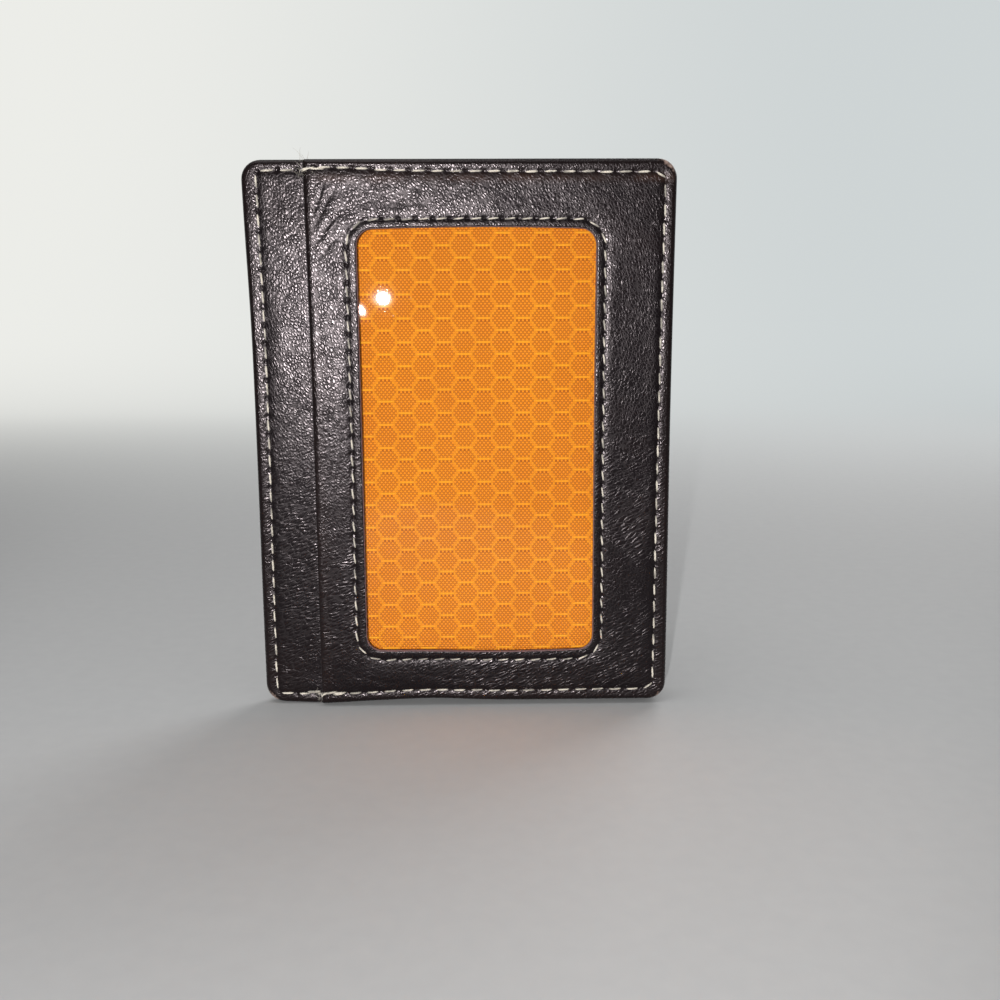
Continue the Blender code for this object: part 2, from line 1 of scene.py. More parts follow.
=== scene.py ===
import math

import bmesh
import bpy
import numpy as np
from bpy.props import FloatProperty, FloatVectorProperty, IntProperty, PointerProperty
from bpy.types import Operator, Panel, PropertyGroup
from mathutils import Matrix, Vector


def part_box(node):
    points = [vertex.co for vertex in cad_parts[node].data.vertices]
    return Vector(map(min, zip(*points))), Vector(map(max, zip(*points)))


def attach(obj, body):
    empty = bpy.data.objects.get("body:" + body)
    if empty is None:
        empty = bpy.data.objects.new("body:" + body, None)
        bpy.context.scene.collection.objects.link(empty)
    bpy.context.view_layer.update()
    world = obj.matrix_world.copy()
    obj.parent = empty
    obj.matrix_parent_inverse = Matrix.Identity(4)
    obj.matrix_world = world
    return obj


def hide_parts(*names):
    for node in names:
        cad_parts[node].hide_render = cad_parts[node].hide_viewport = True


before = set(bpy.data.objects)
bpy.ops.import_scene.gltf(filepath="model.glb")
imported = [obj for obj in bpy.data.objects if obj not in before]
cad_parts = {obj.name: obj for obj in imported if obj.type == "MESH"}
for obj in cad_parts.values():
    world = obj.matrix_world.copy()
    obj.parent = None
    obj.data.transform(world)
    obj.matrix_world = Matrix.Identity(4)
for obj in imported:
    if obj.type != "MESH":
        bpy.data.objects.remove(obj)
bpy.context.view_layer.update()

bl_info = {
    "name": "Front Pocket Wallet",
    "version": (1, 0, 0),
    "blender": (4, 5, 0),
    "location": "View3D > Sidebar > Wallet",
    "description": "Stitched leather front pocket wallet with an ID window",
    "category": "Object",
}

MM = 0.001

# Places of the wallet, all read from its frame
PANEL_BOX, STRIP_BOX, BACK_STRIP_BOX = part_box("window_panel"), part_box("front_strip"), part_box("back_strip")
FIRST_BOX, SECOND_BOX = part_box("first_slot_strip"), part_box("second_slot_strip")
BACK_BOX, VINYL_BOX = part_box("back_pocket_panel"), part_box("id_window")
MOUTH_SIDE, CLOSED_SIDE, HEIGHT = STRIP_BOX[0][0], PANEL_BOX[1][0], PANEL_BOX[1][2]
ID_MOUTH, FIRST_MOUTH = PANEL_BOX[0][0], FIRST_BOX[0][0]
SECOND_MOUTH, THIRD_MOUTH = SECOND_BOX[0][0], BACK_BOX[0][0]
FRONT_Y, STRIP_Y, FRONT_SEAM_Y = PANEL_BOX[0][1], STRIP_BOX[0][1], PANEL_BOX[1][1]
BACK_Y, BACK_SEAM_Y = BACK_BOX[1][1], BACK_BOX[0][1]
SECOND_Y, FIRST_Y, BACK_WALL_Y = SECOND_BOX[1][1], FIRST_BOX[1][1], BACK_STRIP_BOX[1][1]

# Window: its opening, and its corner radius
WINDOW = (-19.0 * MM, 24.55 * MM, 10.7 * MM, 89.8 * MM)
WINDOW_RADIUS = 2.8 * MM

# Outer corners and seams. A seam is a rectangle: its four insets from the edges, and its radius
OUTER_RADIUS = 3.5 * MM
SEAM = (MOUTH_SIDE + 2.45 * MM, CLOSED_SIDE - 2.4 * MM, 2.2 * MM, HEIGHT - 2.1 * MM)
SEAM_RADIUS = 1.0 * MM
WINDOW_SEAM_OFFSET = 1.95 * MM
PITCH = 3.35 * MM
WINDOW_PITCH = 3.12 * MM

# Thicknesses
LEATHER, STRIP_LEATHER, LINING = 0.8 * MM, 0.6 * MM, 0.15 * MM
LAYER_GAP = 0.1 * MM
WALL = 1.2 * MM

# A turned edge: the roll under it, that under a mouth's fold, the least corner, and its rows of points
UNDER_ROLL, MOUTH_UNDER_ROLL = 0.45 * MM, 0.35 * MM
SMALL_RADIUS = 0.3 * MM
TURN_ROWS = 9
FAR_FROM_EDGE = 4.0 * MM

# The cloth's threads, in metres
THREAD_SIZE = {"Across": 0.000366, "Along": 0.000436}

FRONT, BACK = -1.0, 1.0

# The record's slot and the finish of each kind of piece
LEATHER_LOOK = ("dark_brown_leather", "pebbled_leather")
RIPSTOP_LOOK = ("orange_ripstop", "hexagon_ripstop")
LINING_LOOK = ("brown_lining", "brown_plain_weave")
CLEAR_LOOK = ("clear_sheet", "clear_plastic")
THREAD_LOOK = ("cream_thread", "two_ply_thread")

# Sides of a leather, numbered as its outline is drawn: closed side, top, mouth, bottom
CLOSED, MOUTH = 0, 2


def length(name, description, default):
    """A length in metres."""
    return FloatProperty(name=name, description=description, default=default, unit="LENGTH")


def tint(name, description, *default):
    """A colour as red, green and blue."""
    return FloatVectorProperty(name=name, description=description, default=default, subtype="COLOR")


def power(name, description, default):
    """A lamp's power."""
    return FloatProperty(name=name, description=description, default=default, subtype="POWER")


class WalletShape(PropertyGroup):
    """Sizes of the leather and the thread."""

    crown: length("Crown", "How far leather bulges between two seams", 0.00008)
    band_crown: length("Band crown", "Bulge of the narrow bands beside a seam", 0.00006)
    roll: length("Edge roll", "Radius of a turned edge", 0.0009)
    seam_sink: length("Seam depth", "Depth of the channel pressed by a seam", 0.00005)
    hole_sink: length("Hole depth", "Depth of a needle hole's dimple", 0.00022)
    sag: length("Sag", "How far the lower edge sags beside the mouth", 0.00045)
    stand: length("Stand", "How far the rest stands above the corner that it stands on", 0.0003)
    draw_in: FloatProperty(
        name="Drawn in", description="Width after sewing over the width before", default=0.994,
        subtype="FACTOR",
    )
    window_bow: length("Window bow", "How far the window's upper and lower edges bow out", 0.0004)
    seam_lean: length("Seam lean", "How far the outer seam runs out of true at its ends", 0.00026)
    stitch_gap: length("Stitch gap", "Space between two stitches", 0.00115)
    thread: length("Thread", "Width of the thread", 0.00038)
    slant: FloatProperty(
        name="Slant", description="Slant of the window's stitches", default=math.radians(8.0), unit="ROTATION"
    )
    hairs: IntProperty(name="Loose fibres", description="Loose fibres at a mouth's end", default=26, min=0)


class WalletFinish(PropertyGroup):
    """Colours of the leather, cloth and thread."""

    leather: tint("Leather", "Leather", 0.0036, 0.0022, 0.0029)
    # Warm leather colour, also used for the band of painted sheen under the upper stitches.
    leather_warm_and_sheen: tint("Warm leather", "Reddish parts of the leather", 0.034, 0.017, 0.012)
    raw_edge: tint("Cut edge", "Cut edge round the window", 0.19, 0.125, 0.130)
    worn: tint("Worn leather", "Leather that is rubbed bare", 0.34, 0.24, 0.20)
    thread: tint("Thread", "Stitching thread", 0.82, 0.74, 0.62)
    ripstop: tint("Ripstop", "Orange lining cloth", 1.0, 0.33, 0.008)
    # Painted shade in the gaps between the ripstop's threads, and the colour of its random blotches.
    ripstop_shade_and_mottle: tint("Ripstop gaps", "Gaps between its threads", 0.36, 0.050, 0.0005)
    lining: tint("Lining", "Brown lining cloth", 0.045, 0.032, 0.028)
    board: tint("Board", "Bonded board inside the walls", 0.30, 0.28, 0.25)


class WalletStage(PropertyGroup):
    """Lamps and background."""

    flash: power("Small lamp", "Power of the small lamp beyond the camera", 6.3)
    key: power("Top lamp", "Power of the lamp overhead", 1.9)
    fill: power("Rear lamp", "Power of the lamp behind", 2.0)
    sky: FloatProperty(name="Sky", description="Strength of the world's light", default=0.17)


# Numbers and points as whole arrays


def smoothstep(low, high, value):
    """0 below low, 1 above high, and 3 t squared minus 2 t cubed between."""
    share = np.clip((value - low) / (high - low), 0.0, 1.0)
    return share * share * (3.0 - 2.0 * share)


def bell(value, width):
    """e to the minus squared value over squared width: 1 at 0, and soon 0 beyond the width."""
    return np.exp(-((value / width) ** 2))


def blend(first, second, share):
    """First where share is 0, second where it is 1, and a straight mix between."""
    return first * (1.0 - share) + second * share


def quarter(count):
    """Angles from 0 to a quarter turn."""
    return np.linspace(0.0, math.pi / 2, count)


def vectors(*parts):
    """Points from their separate coordinates."""
    return np.stack(parts, axis=-1)


def cloud(x, z, size, seed):
    """Soft random relief from -1 to 1: lattice values a size apart, blended by smoothstep."""
    count = 64
    lattice = np.random.default_rng(seed).uniform(-1.0, 1.0, (count, count))
    u, v = x / size + 31.0, z / size + 7.0
    column, row = np.floor(u).astype(int), np.floor(v).astype(int)
    s, t = smoothstep(0.0, 1.0, u - column), smoothstep(0.0, 1.0, v - row)

    def value(i, j):
        return lattice[(column + i) % count, (row + j) % count]

    return blend(blend(value(0, 0), value(1, 0), s), blend(value(0, 1), value(1, 1), s), t)


def rounded_distance(x, z, edges, radius):
    """Signed distance to a rounded rectangle, negative inside it."""
    x0, x1, z0, z1 = edges
    across = np.abs(x - (x0 + x1) / 2) - ((x1 - x0) / 2 - radius)
    along = np.abs(z - (z0 + z1) / 2) - ((z1 - z0) / 2 - radius)
    outside = np.hypot(np.maximum(across, 0.0), np.maximum(along, 0.0))
    return outside + np.minimum(np.maximum(across, along), 0.0) - radius


def settle(points):
    """How the sewn wallet has settled, for every piece alike.

    The sewing draws it in a little across. It stands on its corner at the mouth, where the lower edge sags:
    a bell along X that fades with height, and the rest is lifted by as much. A wider bell beside it, which
    fades too, lifts the lower edge under the window. At the mouth's lower end the strip and the window's
    leather are pressed to nearly one level, by a bell round that end, and the window's leather is drawn up by
    a wider bell, less towards the middle layers. The window's upper and lower edges bow outwards by a
    parabola along X. The layers behind the window's leather reach a little further at the top and at the
    mouth side, the sides waver as a sine along Z, and the upper corner at the mouth leans outwards.
    """
    shape = bpy.context.scene.wallet_shape
    x, y, z = (points[..., axis] for axis in range(3))
    from_mouth = x - ID_MOUTH
    past_mouth = from_mouth > -LAYER_GAP / 2

    fade_height, strip_reach, panel_reach = 14.0 * MM, 14.0 * MM, 7.0 * MM
    low = np.exp(-z / fade_height)
    sag = bell(from_mouth, np.where(from_mouth < 0.0, strip_reach, panel_reach)) * low
    lift = shape.stand * (1.0 - sag) + shape.sag * (low - sag)
    arch, arch_middle, reach = 0.5 * MM, -7.0 * MM, 9.0 * MM
    lift = lift + arch * bell(x - arch_middle, reach) * low
    drawn_up, strip_press, panel_press = 0.4 * MM, 0.4 * MM, -0.2 * MM
    drawn = drawn_up * bell(from_mouth, reach) * low * past_mouth
    lift = lift + drawn * (1.0 - smoothstep(FRONT_Y, FRONT_SEAM_Y, y))
    pressed = bell(from_mouth, 6.0 * MM) * bell(z, 4.0 * MM)
    pressed = pressed * (1.0 - smoothstep(STRIP_Y + 0.3 * MM, FRONT_SEAM_Y, y))
    forward = pressed * np.where(past_mouth, panel_press, strip_press)

    x0, x1, z0, z1 = WINDOW
    bow_reach = 1.7 * MM
    across = (x - (x0 + x1) / 2) / ((x1 - x0) / 2)
    bow = shape.window_bow * np.clip(1.0 - across**2, 0.0, 1.0)
    bow = bow * (bell(z - z1, bow_reach) - bell(z - z0, bow_reach))

    depth = np.clip(y - FRONT_Y, 0.0, STRIP_Y - FRONT_Y)
    rise_share, spread_share, most_waver, most_lean = 0.14, 0.15, 0.10 * MM, 0.45 * MM
    rise = rise_share * depth * smoothstep(0.8 * HEIGHT, HEIGHT, z)
    spread = spread_share * depth * smoothstep(MOUTH_SIDE + 8.0 * MM, MOUTH_SIDE, x)
    waver = most_waver * np.sin(z / (17.0 * MM) + 1.2) * (x / CLOSED_SIDE)
    lean = most_lean * smoothstep(-22.0 * MM, MOUTH_SIDE, x) * smoothstep(0.66 * HEIGHT, HEIGHT, z)
    return vectors(x * shape.draw_in + waver - lean - spread, y - forward, z + lift + bow + rise)


def add_object(name, data):
    """A new object in the scene."""
    holder = bpy.data.objects.new(name, data)
    bpy.context.scene.collection.objects.link(holder)
    return holder


def make_object(name, points, faces, node, look, masks=None, uv=None):
    """Puts points and faces into a mesh object that rides on the wallet and stands for a node."""
    slot_name, finish_name = look
    mesh = bpy.data.meshes.new(name)
    mesh.from_pydata(settle(points), [], faces)
    for mask, values in (masks or {}).items():
        layer = mesh.attributes.new(mask, "FLOAT", "POINT")
        layer.data.foreach_set("value", np.ascontiguousarray(values, dtype=np.float32).ravel())
    if uv is not None:
        corners = np.empty(len(mesh.loops), dtype=np.int32)
        mesh.loops.foreach_get("vertex_index", corners)
        mesh.uv_layers.new(name="along").data.foreach_set("uv", uv[corners].astype(np.float32).ravel())
    work = bmesh.new()
    work.from_mesh(mesh)
    bmesh.ops.remove_doubles(work, verts=work.verts, dist=1e-7)
    bmesh.ops.dissolve_degenerate(work, edges=work.edges, dist=1e-8)
    bmesh.ops.recalc_face_normals(work, faces=work.faces)
    work.to_mesh(mesh)
    work.free()
    mesh.shade_smooth()
    mesh.materials.append(bpy.data.materials[finish_name])
    piece = add_object(name, mesh)
    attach(piece, "root")
    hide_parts(node)
    return piece


def grid_faces(rows, columns, wrap_rows):
    """Four-sided faces between neighbours of a grid whose columns close on themselves."""
    row = np.arange(rows if wrap_rows else rows - 1)[:, None]
    column = np.arange(columns)[None, :]
    below = (row + 1) % rows * columns
    beside = (column + 1) % columns
    corners = (row * columns + column, row * columns + beside, below + beside, below + column)
    return vectors(*corners).reshape(-1, 4).tolist()


def tube_faces(count, rings, sides):
    """Faces of closed tubes: four-sided ones round each, and one at both of its ends."""
    block = np.array(grid_faces(rings, sides, wrap_rows=False))
    end = np.arange(sides)
    faces = []
    for first in range(0, count * rings * sides, rings * sides):
        faces += (block + first).tolist()
        faces.append((end + first).tolist())
        faces.append((end[::-1] + first + (rings - 1) * sides).tolist())
    return faces


def flat_solid(edges, level, thickness, facing, counts):
    """A closed thin sheet: a grid whose Y is a function of X and Z, the same grid a thickness behind it,
    and a band round both.
    """
    x0, x1, z0, z1 = edges
    across, along = counts
    x, z = np.meshgrid(np.linspace(x0, x1, across), np.linspace(z0, z1, along))
    near = vectors(x, level(x, z), z).reshape(-1, 3)
    far = near + np.array([0.0, thickness * facing, 0.0])
    count = across * along
    index = np.arange(count).reshape(along, across)
    quads = vectors(index[:-1, :-1], index[:-1, 1:], index[1:, 1:], index[1:, :-1]).reshape(-1, 4)
    ring = np.concatenate([index[0, :-1], index[:-1, -1], index[-1, :0:-1], index[:0:-1, 0]])
    following = np.roll(ring, -1)
    band = vectors(ring, following, following + count, ring + count)
    faces = np.concatenate([quads, quads[:, ::-1] + count, band]).tolist()
    return np.concatenate([near, far]), faces


class Outline:
    """A rounded rectangle drawn counter-clockwise, with its own inset at each point."""

    def __init__(self, edges, radii, along, arc):
        self.edges, self.radii, self.along, self.arc = edges, radii, along, arc
        sizes = [count for side in range(4) for count in (arc + 1, along[side] - 1)]
        self.cuts = np.cumsum(sizes)[:-1]
        self.columns = sum(sizes)

    def corner(self, index, inset, angle):
        """Points of one corner: its centre plus its radius times the cosine and sine of an angle."""
        x0, x1, z0, z1 = self.edges
        half = min(x1 - x0, z1 - z0) / 2 - inset
        least = np.minimum(SMALL_RADIUS + np.maximum(inset, 0.0) / 2, 1.0 * MM)
        radius = np.clip(np.maximum(self.radii[index] - inset, least), 0.0, np.maximum(half, 0.0))
        x = (x1 - inset - radius) if index in (0, 1) else (x0 + inset + radius)
        z = (z1 - inset - radius) if index in (1, 2) else (z0 + inset + radius)
        return vectors(x + radius * np.cos(angle), z + radius * np.sin(angle))

    def at(self, inset):
        """Points at an inset given for every row and column. Sides divide the line between two arcs."""
        blocks = np.split(inset, self.cuts, axis=1)
        parts = []
        for side in range(4):
            start = (side - 1) * math.pi / 2
            parts.append(self.corner(side, blocks[2 * side], start + quarter(self.arc + 1)[None, :]))
            share = (np.arange(1, self.along[side]) / self.along[side])[None, :, None]
            edge = blocks[2 * side + 1]
            from_point = self.corner(side, edge, start + math.pi / 2)
            to_point = self.corner((side + 1) % 4, edge, start + math.pi / 2)
            parts.append(from_point + (to_point - from_point) * share)
        return np.concatenate(parts, axis=1)

    def share_of(self, sides):
        """1 on these sides, 0 on the others, and a ramp over the corner between two unlike ones."""
        belongs = [float(side in sides) for side in range(4)]
        parts = []
        for side in range(4):
            parts.append(np.linspace(belongs[side - 1], belongs[side], self.arc + 1))
            parts.append(np.full(self.along[side] - 1, belongs[side]))
        return np.concatenate(parts)


# Seams


def rectangle_path(edges, radius, steps=8):
    """Points round a rounded rectangle, counter-clockwise from the middle of its lower side."""
    x0, x1, z0, z1 = edges
    left, right, low, high = x0 + radius, x1 - radius, z0 + radius, z1 - radius
    arcs = []
    for index, (x, z) in enumerate(((right, low), (right, high), (left, high), (left, low))):
        angle = np.linspace(index - 1, index, steps + 1) * math.pi / 2
        arcs.append(vectors(x + radius * np.cos(angle), z + radius * np.sin(angle)))
    middle = np.array([[(x0 + x1) / 2, z0]])
    return np.concatenate([middle, *arcs, middle])


def run_lengths(path):
    """Length along a path at each of its points."""
    return np.append(0.0, np.cumsum(np.hypot(*np.diff(path, axis=0).T)))


def places_on(path, lengths):
    """Points of a path at these lengths along it."""
    total = run_lengths(path)
    return vectors(*(np.interp(lengths % total[-1], total, path[:, axis]) for axis in range(2)))


def cell_bounds(path, pitch, steps):
    """Lengths along a closed path at which one stitch ends and the next starts.

    A stitch is centred on every step, which is the X of a mouth, on the lower and on the upper side.
    Between two such stitches the path is divided evenly.
    """
    total = run_lengths(path)[-1]
    if not steps:
        return np.linspace(0.0, total, round(total / pitch) + 1)
    from_middle = np.array(steps) - path[0, 0]
    marks = np.sort(np.concatenate([from_middle % total, total / 2 - from_middle]))
    bounds = []
    for mark, following in zip(marks, np.append(marks[1:], marks[0] + total)):
        start, end = mark + pitch / 2, following - pitch / 2
        bounds.append(np.linspace(start, end, max(round((end - start) / pitch), 1) + 1))
    return np.append(np.concatenate(bounds), marks[0] + total + pitch / 2)


class Seam:
    """One row of stitches: where each starts and ends, and the holes between them.

    A seam that leans has its upper end pushed to +X and its lower end to -X. Towards +X its upper side slopes
    down and its lower side up. Each is a share of lean that grows in a straight line.
    """

    def __init__(self, edges, radius, pitch, steps=(), slant=0.0, lean=0.0, rise=0.0):
        half_gap = bpy.context.scene.wallet_shape.stitch_gap / 2
        self.edges, self.radius, self.lean, self.rise = edges, radius, lean, rise
        path = rectangle_path(edges, radius)
        bounds = cell_bounds(path, pitch, steps)
        start = places_on(path, bounds[:-1] + half_gap)
        end = places_on(path, bounds[1:] - half_gap)
        middle, reach = (start + end) / 2, (end - start) / 2
        side = vectors(-reach[:, 1], reach[:, 0]) * math.tan(slant)
        self.starts, self.ends, self.holes = (
            points + self.shift(points[:, 0], points[:, 1])
            for points in (middle - reach - side, middle + reach + side, places_on(path, bounds[:-1]))
        )

    def lift(self, x, z):
        """How far the seam's upper side climbs: up just past the ID mouth, and back down over 19 mm."""
        climb = smoothstep(ID_MOUTH, ID_MOUTH + 1.8 * MM, x)
        fall = 1.0 - smoothstep(-26.0 * MM, -7.0 * MM, x)
        return self.rise * climb * fall * smoothstep(0.85 * HEIGHT, 0.95 * HEIGHT, z)

    def shift(self, x, z):
        """How far the lean and the climb move a point of the seam."""
        sideways = self.lean * (2.0 * z / HEIGHT - 1.0)
        return vectors(sideways, -sideways * x / CLOSED_SIDE + self.lift(x, z))

    def distance(self, x, z):
        """Signed distance to the seam's line."""
        back = self.shift(x, z)
        return rounded_distance(x - back[..., 0], z - back[..., 1], self.edges, self.radius)


def outer_seam(facing):
    """The outer seam on one side. On the window side it climbs at the ID mouth."""
    lean = bpy.context.scene.wallet_shape.seam_lean
    slant = math.radians(-3.0 * facing)
    if facing == FRONT:
        return Seam(SEAM, SEAM_RADIUS, PITCH, (ID_MOUTH,), slant, lean, rise=0.6 * MM)
    return Seam(SEAM, SEAM_RADIUS, PITCH, (FIRST_MOUTH, SECOND_MOUTH, THIRD_MOUTH), slant, lean)


def window_seam():
    """The seam round the window, whose stitches slant."""
    x0, x1, z0, z1 = WINDOW
    out = WINDOW_SEAM_OFFSET
    edges = (x0 - out, x1 + out - 0.25 * MM, z0 - out, z1 + out - 0.2 * MM)
    return Seam(edges, WINDOW_RADIUS + out, WINDOW_PITCH, slant=bpy.context.scene.wallet_shape.slant)


def dimples(x, z, holes, width):
    """Sum of round bells at the holes: e to the minus squared distance over squared width."""
    result = np.zeros(x.size)
    points = vectors(x.ravel(), z.ravel())
    for part in np.array_split(np.arange(x.size), max(x.size // 20000, 1)):
        gap = points[part, None, :] - holes[None, :, :]
        result[part] = np.exp(-(gap**2).sum(axis=-1) / width**2).sum(axis=1)
    return result.reshape(x.shape)


def face_level(facing):
    """X and Y of the stepped face that a side's outer seam runs over, from the mouth side on."""
    before, after = 0.42 * MM, 0.12 * MM
    if facing == FRONT:
        steps, levels = [ID_MOUTH], [STRIP_Y, FRONT_Y]
    else:
        steps, levels = [FIRST_MOUTH, SECOND_MOUTH, THIRD_MOUTH], [BACK_WALL_Y, FIRST_Y, SECOND_Y, BACK_Y]
    places = [place for step in steps for place in (step - before, step + after)]
    return np.array(places), np.repeat(levels, 2)[1:-1]


def unit(arrows):
    """Arrows of length 1."""
    return arrows / np.linalg.norm(arrows, axis=-1, keepdims=True)


def stitch_mesh(starts, ends, facing, levels, width, lift, seed):
    """Twisted stitches as points, faces and UV.

    Each is a tube along a line from its first hole to its last. The line rises over the leather as the root
    of a parabola, and the tube's radius swells by one minus the fourth power of the place.
    """
    rings, sides = 9, 6
    sunk, end_width, jitter = 0.16 * MM, 0.42, 0.03 * MM
    chance = np.random.default_rng(seed)
    count = len(starts)
    t = np.linspace(0.0, 1.0, rings)
    from_middle = 2.0 * t - 1.0
    line = starts[:, None, :] + (ends - starts)[:, None, :] * t[None, :, None]
    line = line + chance.normal(0.0, jitter, (count, 1, 2))
    scale = chance.uniform(0.88, 1.12, (count, 1))
    radius = blend(end_width, 1.0, 1.0 - from_middle**4) * width / 2 * scale
    out = (sunk + lift) * np.sqrt(1.0 - from_middle**2) * scale - sunk
    height = np.interp(line[..., 0], *levels)
    centre = vectors(line[..., 0], height + facing * out, line[..., 1])
    tangent = unit(np.gradient(centre, axis=1))
    across = unit(np.cross(tangent, np.array([0.0, 1.0, 0.0])))
    up = np.cross(across, tangent)
    angle = np.arange(sides) / sides * 2.0 * math.pi
    ring = across[:, :, None, :] * np.cos(angle)[:, None] + up[:, :, None, :] * np.sin(angle)[:, None]
    points = centre[:, :, None, :] + ring * radius[:, :, None, None]
    u = t[None, :, None] + np.arange(count)[:, None, None]
    uv = vectors(*np.broadcast_arrays(u, angle[None, None, :] / (2.0 * math.pi)))
    return points.reshape(-1, 3), tube_faces(count, rings, sides), uv.reshape(-1, 2)


def fibre_mesh(roots, leans, lengths, width, seed):
    """Loose fibres as points and faces: thin three-sided tubes that curl by the square of the place and taper
    towards their tips.
    """
    rings, sides, flatness = 7, 3, 0.7
    chance = np.random.default_rng(seed)
    count = len(roots)
    t = np.linspace(0.0, 1.0, rings)[None, :, None]
    lengths = lengths[:, None, None]
    curl = chance.normal(0.0, 0.35, (count, 1, 3)) * lengths
    centre = roots[:, None, :] + leans[:, None, :] * lengths * t + curl * t**2
    radius = width / 2 * (1.0 - 0.6 * t)
    angle = np.arange(sides) / sides * 2 * math.pi
    ring = vectors(np.cos(angle), np.sin(angle) * flatness, np.sin(angle) * flatness)
    points = centre[:, :, None, :] + ring[None, None] * radius[..., None]
    return points.reshape(-1, 3), tube_faces(count, rings, sides)


# Leather

# Creases in the window's leather, in millimetres: both ends, depth and width
PANEL_CREASES = MM * np.array([
    (26.5, 3.0, 34.5, 9.5, 0.07, 0.28),
    (27.5, 1.9, 36.0, 8.6, 0.08, 0.26),
    (29.5, 2.4, 36.6, 7.2, 0.06, 0.24),
    (25.5, 5.0, 33.5, 11.8, 0.06, 0.30),
    (27.0, 8.5, 36.0, 15.5, 0.05, 0.30),
    (26.6, 13.0, 35.5, 18.0, 0.05, 0.32),
    (27.0, 18.0, 36.0, 22.0, 0.04, 0.32),
    (-27.4, 89.6, -21.8, 97.2, 0.09, 0.30),
    (-27.2, 87.0, -20.6, 93.6, 0.08, 0.32),
    (-27.6, 91.6, -23.4, 98.6, 0.07, 0.28),
    (-27.0, 84.5, -20.8, 89.2, 0.05, 0.34),
    (-26.0, 8.0, -20.0, 5.2, 0.04, 0.32),
    (-24.0, 5.4, -12.0, 4.0, 0.04, 0.34),
    (-10.0, 5.6, 4.0, 4.2, 0.03, 0.34),
])


def rows_from_edge(roll, depth, under, wall):
    """A turned edge's rows as inset and depth: a quarter round, a straight side, and a smaller quarter round.

    Each argument is a number for every column.
    """
    turn, under_turn = quarter(TURN_ROWS)[:, None], quarter(6)[:, None]
    side = np.linspace(0.0, 1.0, 6)[1:-1, None]
    rows = (
        (roll * (1 - np.sin(turn)), roll * (1 - np.cos(turn))),
        (np.zeros_like(side * roll), roll + (depth - under - roll) * side),
        (under * (1 - np.cos(under_turn)), depth - under * (1 - np.sin(under_turn))),
        (np.stack((wall * 0.8, wall)), np.stack((depth, depth))),
    )
    return tuple(np.concatenate(parts) for parts in zip(*rows))


def relief(x, z, seams, edge, seed, creases=()):
    """How far leather stands proud of its flat face.

    It bulges away from a seam as one minus a bell of the distance. It sinks along the seam by a narrow
    bell and at every hole by a round one. Soft random relief and creases are added.
    """
    shape = bpy.context.scene.wallet_shape
    signed = [seam.distance(x, z) for seam in seams]
    near = np.minimum.reduce([np.abs(value) for value in signed])
    in_band = signed[0] > 0
    if len(seams) > 1:
        in_band = in_band | (signed[1] < 0)
    crown = np.where(in_band, shape.band_crown, shape.crown)
    result = crown * (1.0 - bell(near, np.where(in_band, 0.6 * MM, 1.05 * MM)))
    result -= shape.seam_sink * bell(near, 0.42 * MM)
    for seam in seams:
        result -= shape.hole_sink * dimples(x, z, seam.holes, 0.29 * MM)
    inner = smoothstep(0.5 * MM, 3.0 * MM, near)
    reliefs = (15.0, 0.08, inner), (5.0, 0.03, inner), (1.9, 0.01, smoothstep(0.0, 1.0 * MM, near))
    for order, (size, height, share) in enumerate(reliefs):
        result += share * height * MM * cloud(x, z, size * MM, seed + order)
    for crease in creases:
        result -= crease_depth(x, z, *crease)
    return result * smoothstep(0.0, shape.roll, edge)


def crease_depth(x, z, x0, z0, x1, z1, depth, width):
    """Depth of a fine crease: a bell across its line, which winds as a sine and fades towards its ends."""
    run_x, run_z = x1 - x0, z1 - z0
    run = np.hypot(run_x, run_z)
    u = ((x - x0) * run_x + (z - z0) * run_z) / run**2
    v = ((z - z0) * run_x - (x - x0) * run_z) / run
    bend = v - 0.35 * MM * np.sin(u * 5.0 + x0 / MM)
    fade = smoothstep(-0.05, 0.3, u) * (1.0 - smoothstep(0.7, 1.05, u))
    return depth * fade * bell(bend, width)


def edge_masks(x, z, level, inset, butt):
    """Masks for the finish: nearness to an outer edge, rubbed corners, a reddish band of painted sheen under
    the upper stitches, what is cut bare and shaded folds. The last two are 0 here.
    """
    edge = (butt[None, :] <= 0.5) * (1.0 - smoothstep(0.3 * MM, 3.4 * MM, inset))
    rubbed, reach = np.zeros(x.shape), 2.9 * MM
    for corner_x, corner_z, share in (
        (CLOSED_SIDE - 1.0 * MM, HEIGHT, 0.702), (CLOSED_SIDE, 0.0, 0.7425), (MOUTH_SIDE, 0.0, 0.81)
    ):
        rubbed = np.maximum(rubbed, share * bell(np.hypot(x - corner_x, z - corner_z), reach))
    near_edge = 1.0 - smoothstep(0.4 * MM, 1.7 * MM, inset)
    worn = rubbed * near_edge * (1.0 - 0.7 * smoothstep(0.9 * MM, 2.4 * MM, level))
    # Painted sheen: a lighter reddish band below the upper seam, where the leather's slope faces up to the
    # light.
    band_below, band_width = 3.3 * MM, 0.75 * MM
    band = bell(z - HEIGHT + band_below, band_width) * smoothstep(ID_MOUTH, ID_MOUTH + 5.0 * MM, x)
    warmth_and_sheen = band * (0.6 + 0.4 * cloud(x, z, 3.0 * MM, 91)) * (level < 0.1 * MM)
    nothing = np.zeros(x.size)
    return {
        "warmth_and_sheen": warmth_and_sheen.ravel(), "edge": edge.ravel(), "worn": worn.ravel(), "cut": nothing, "shade": nothing,
    }


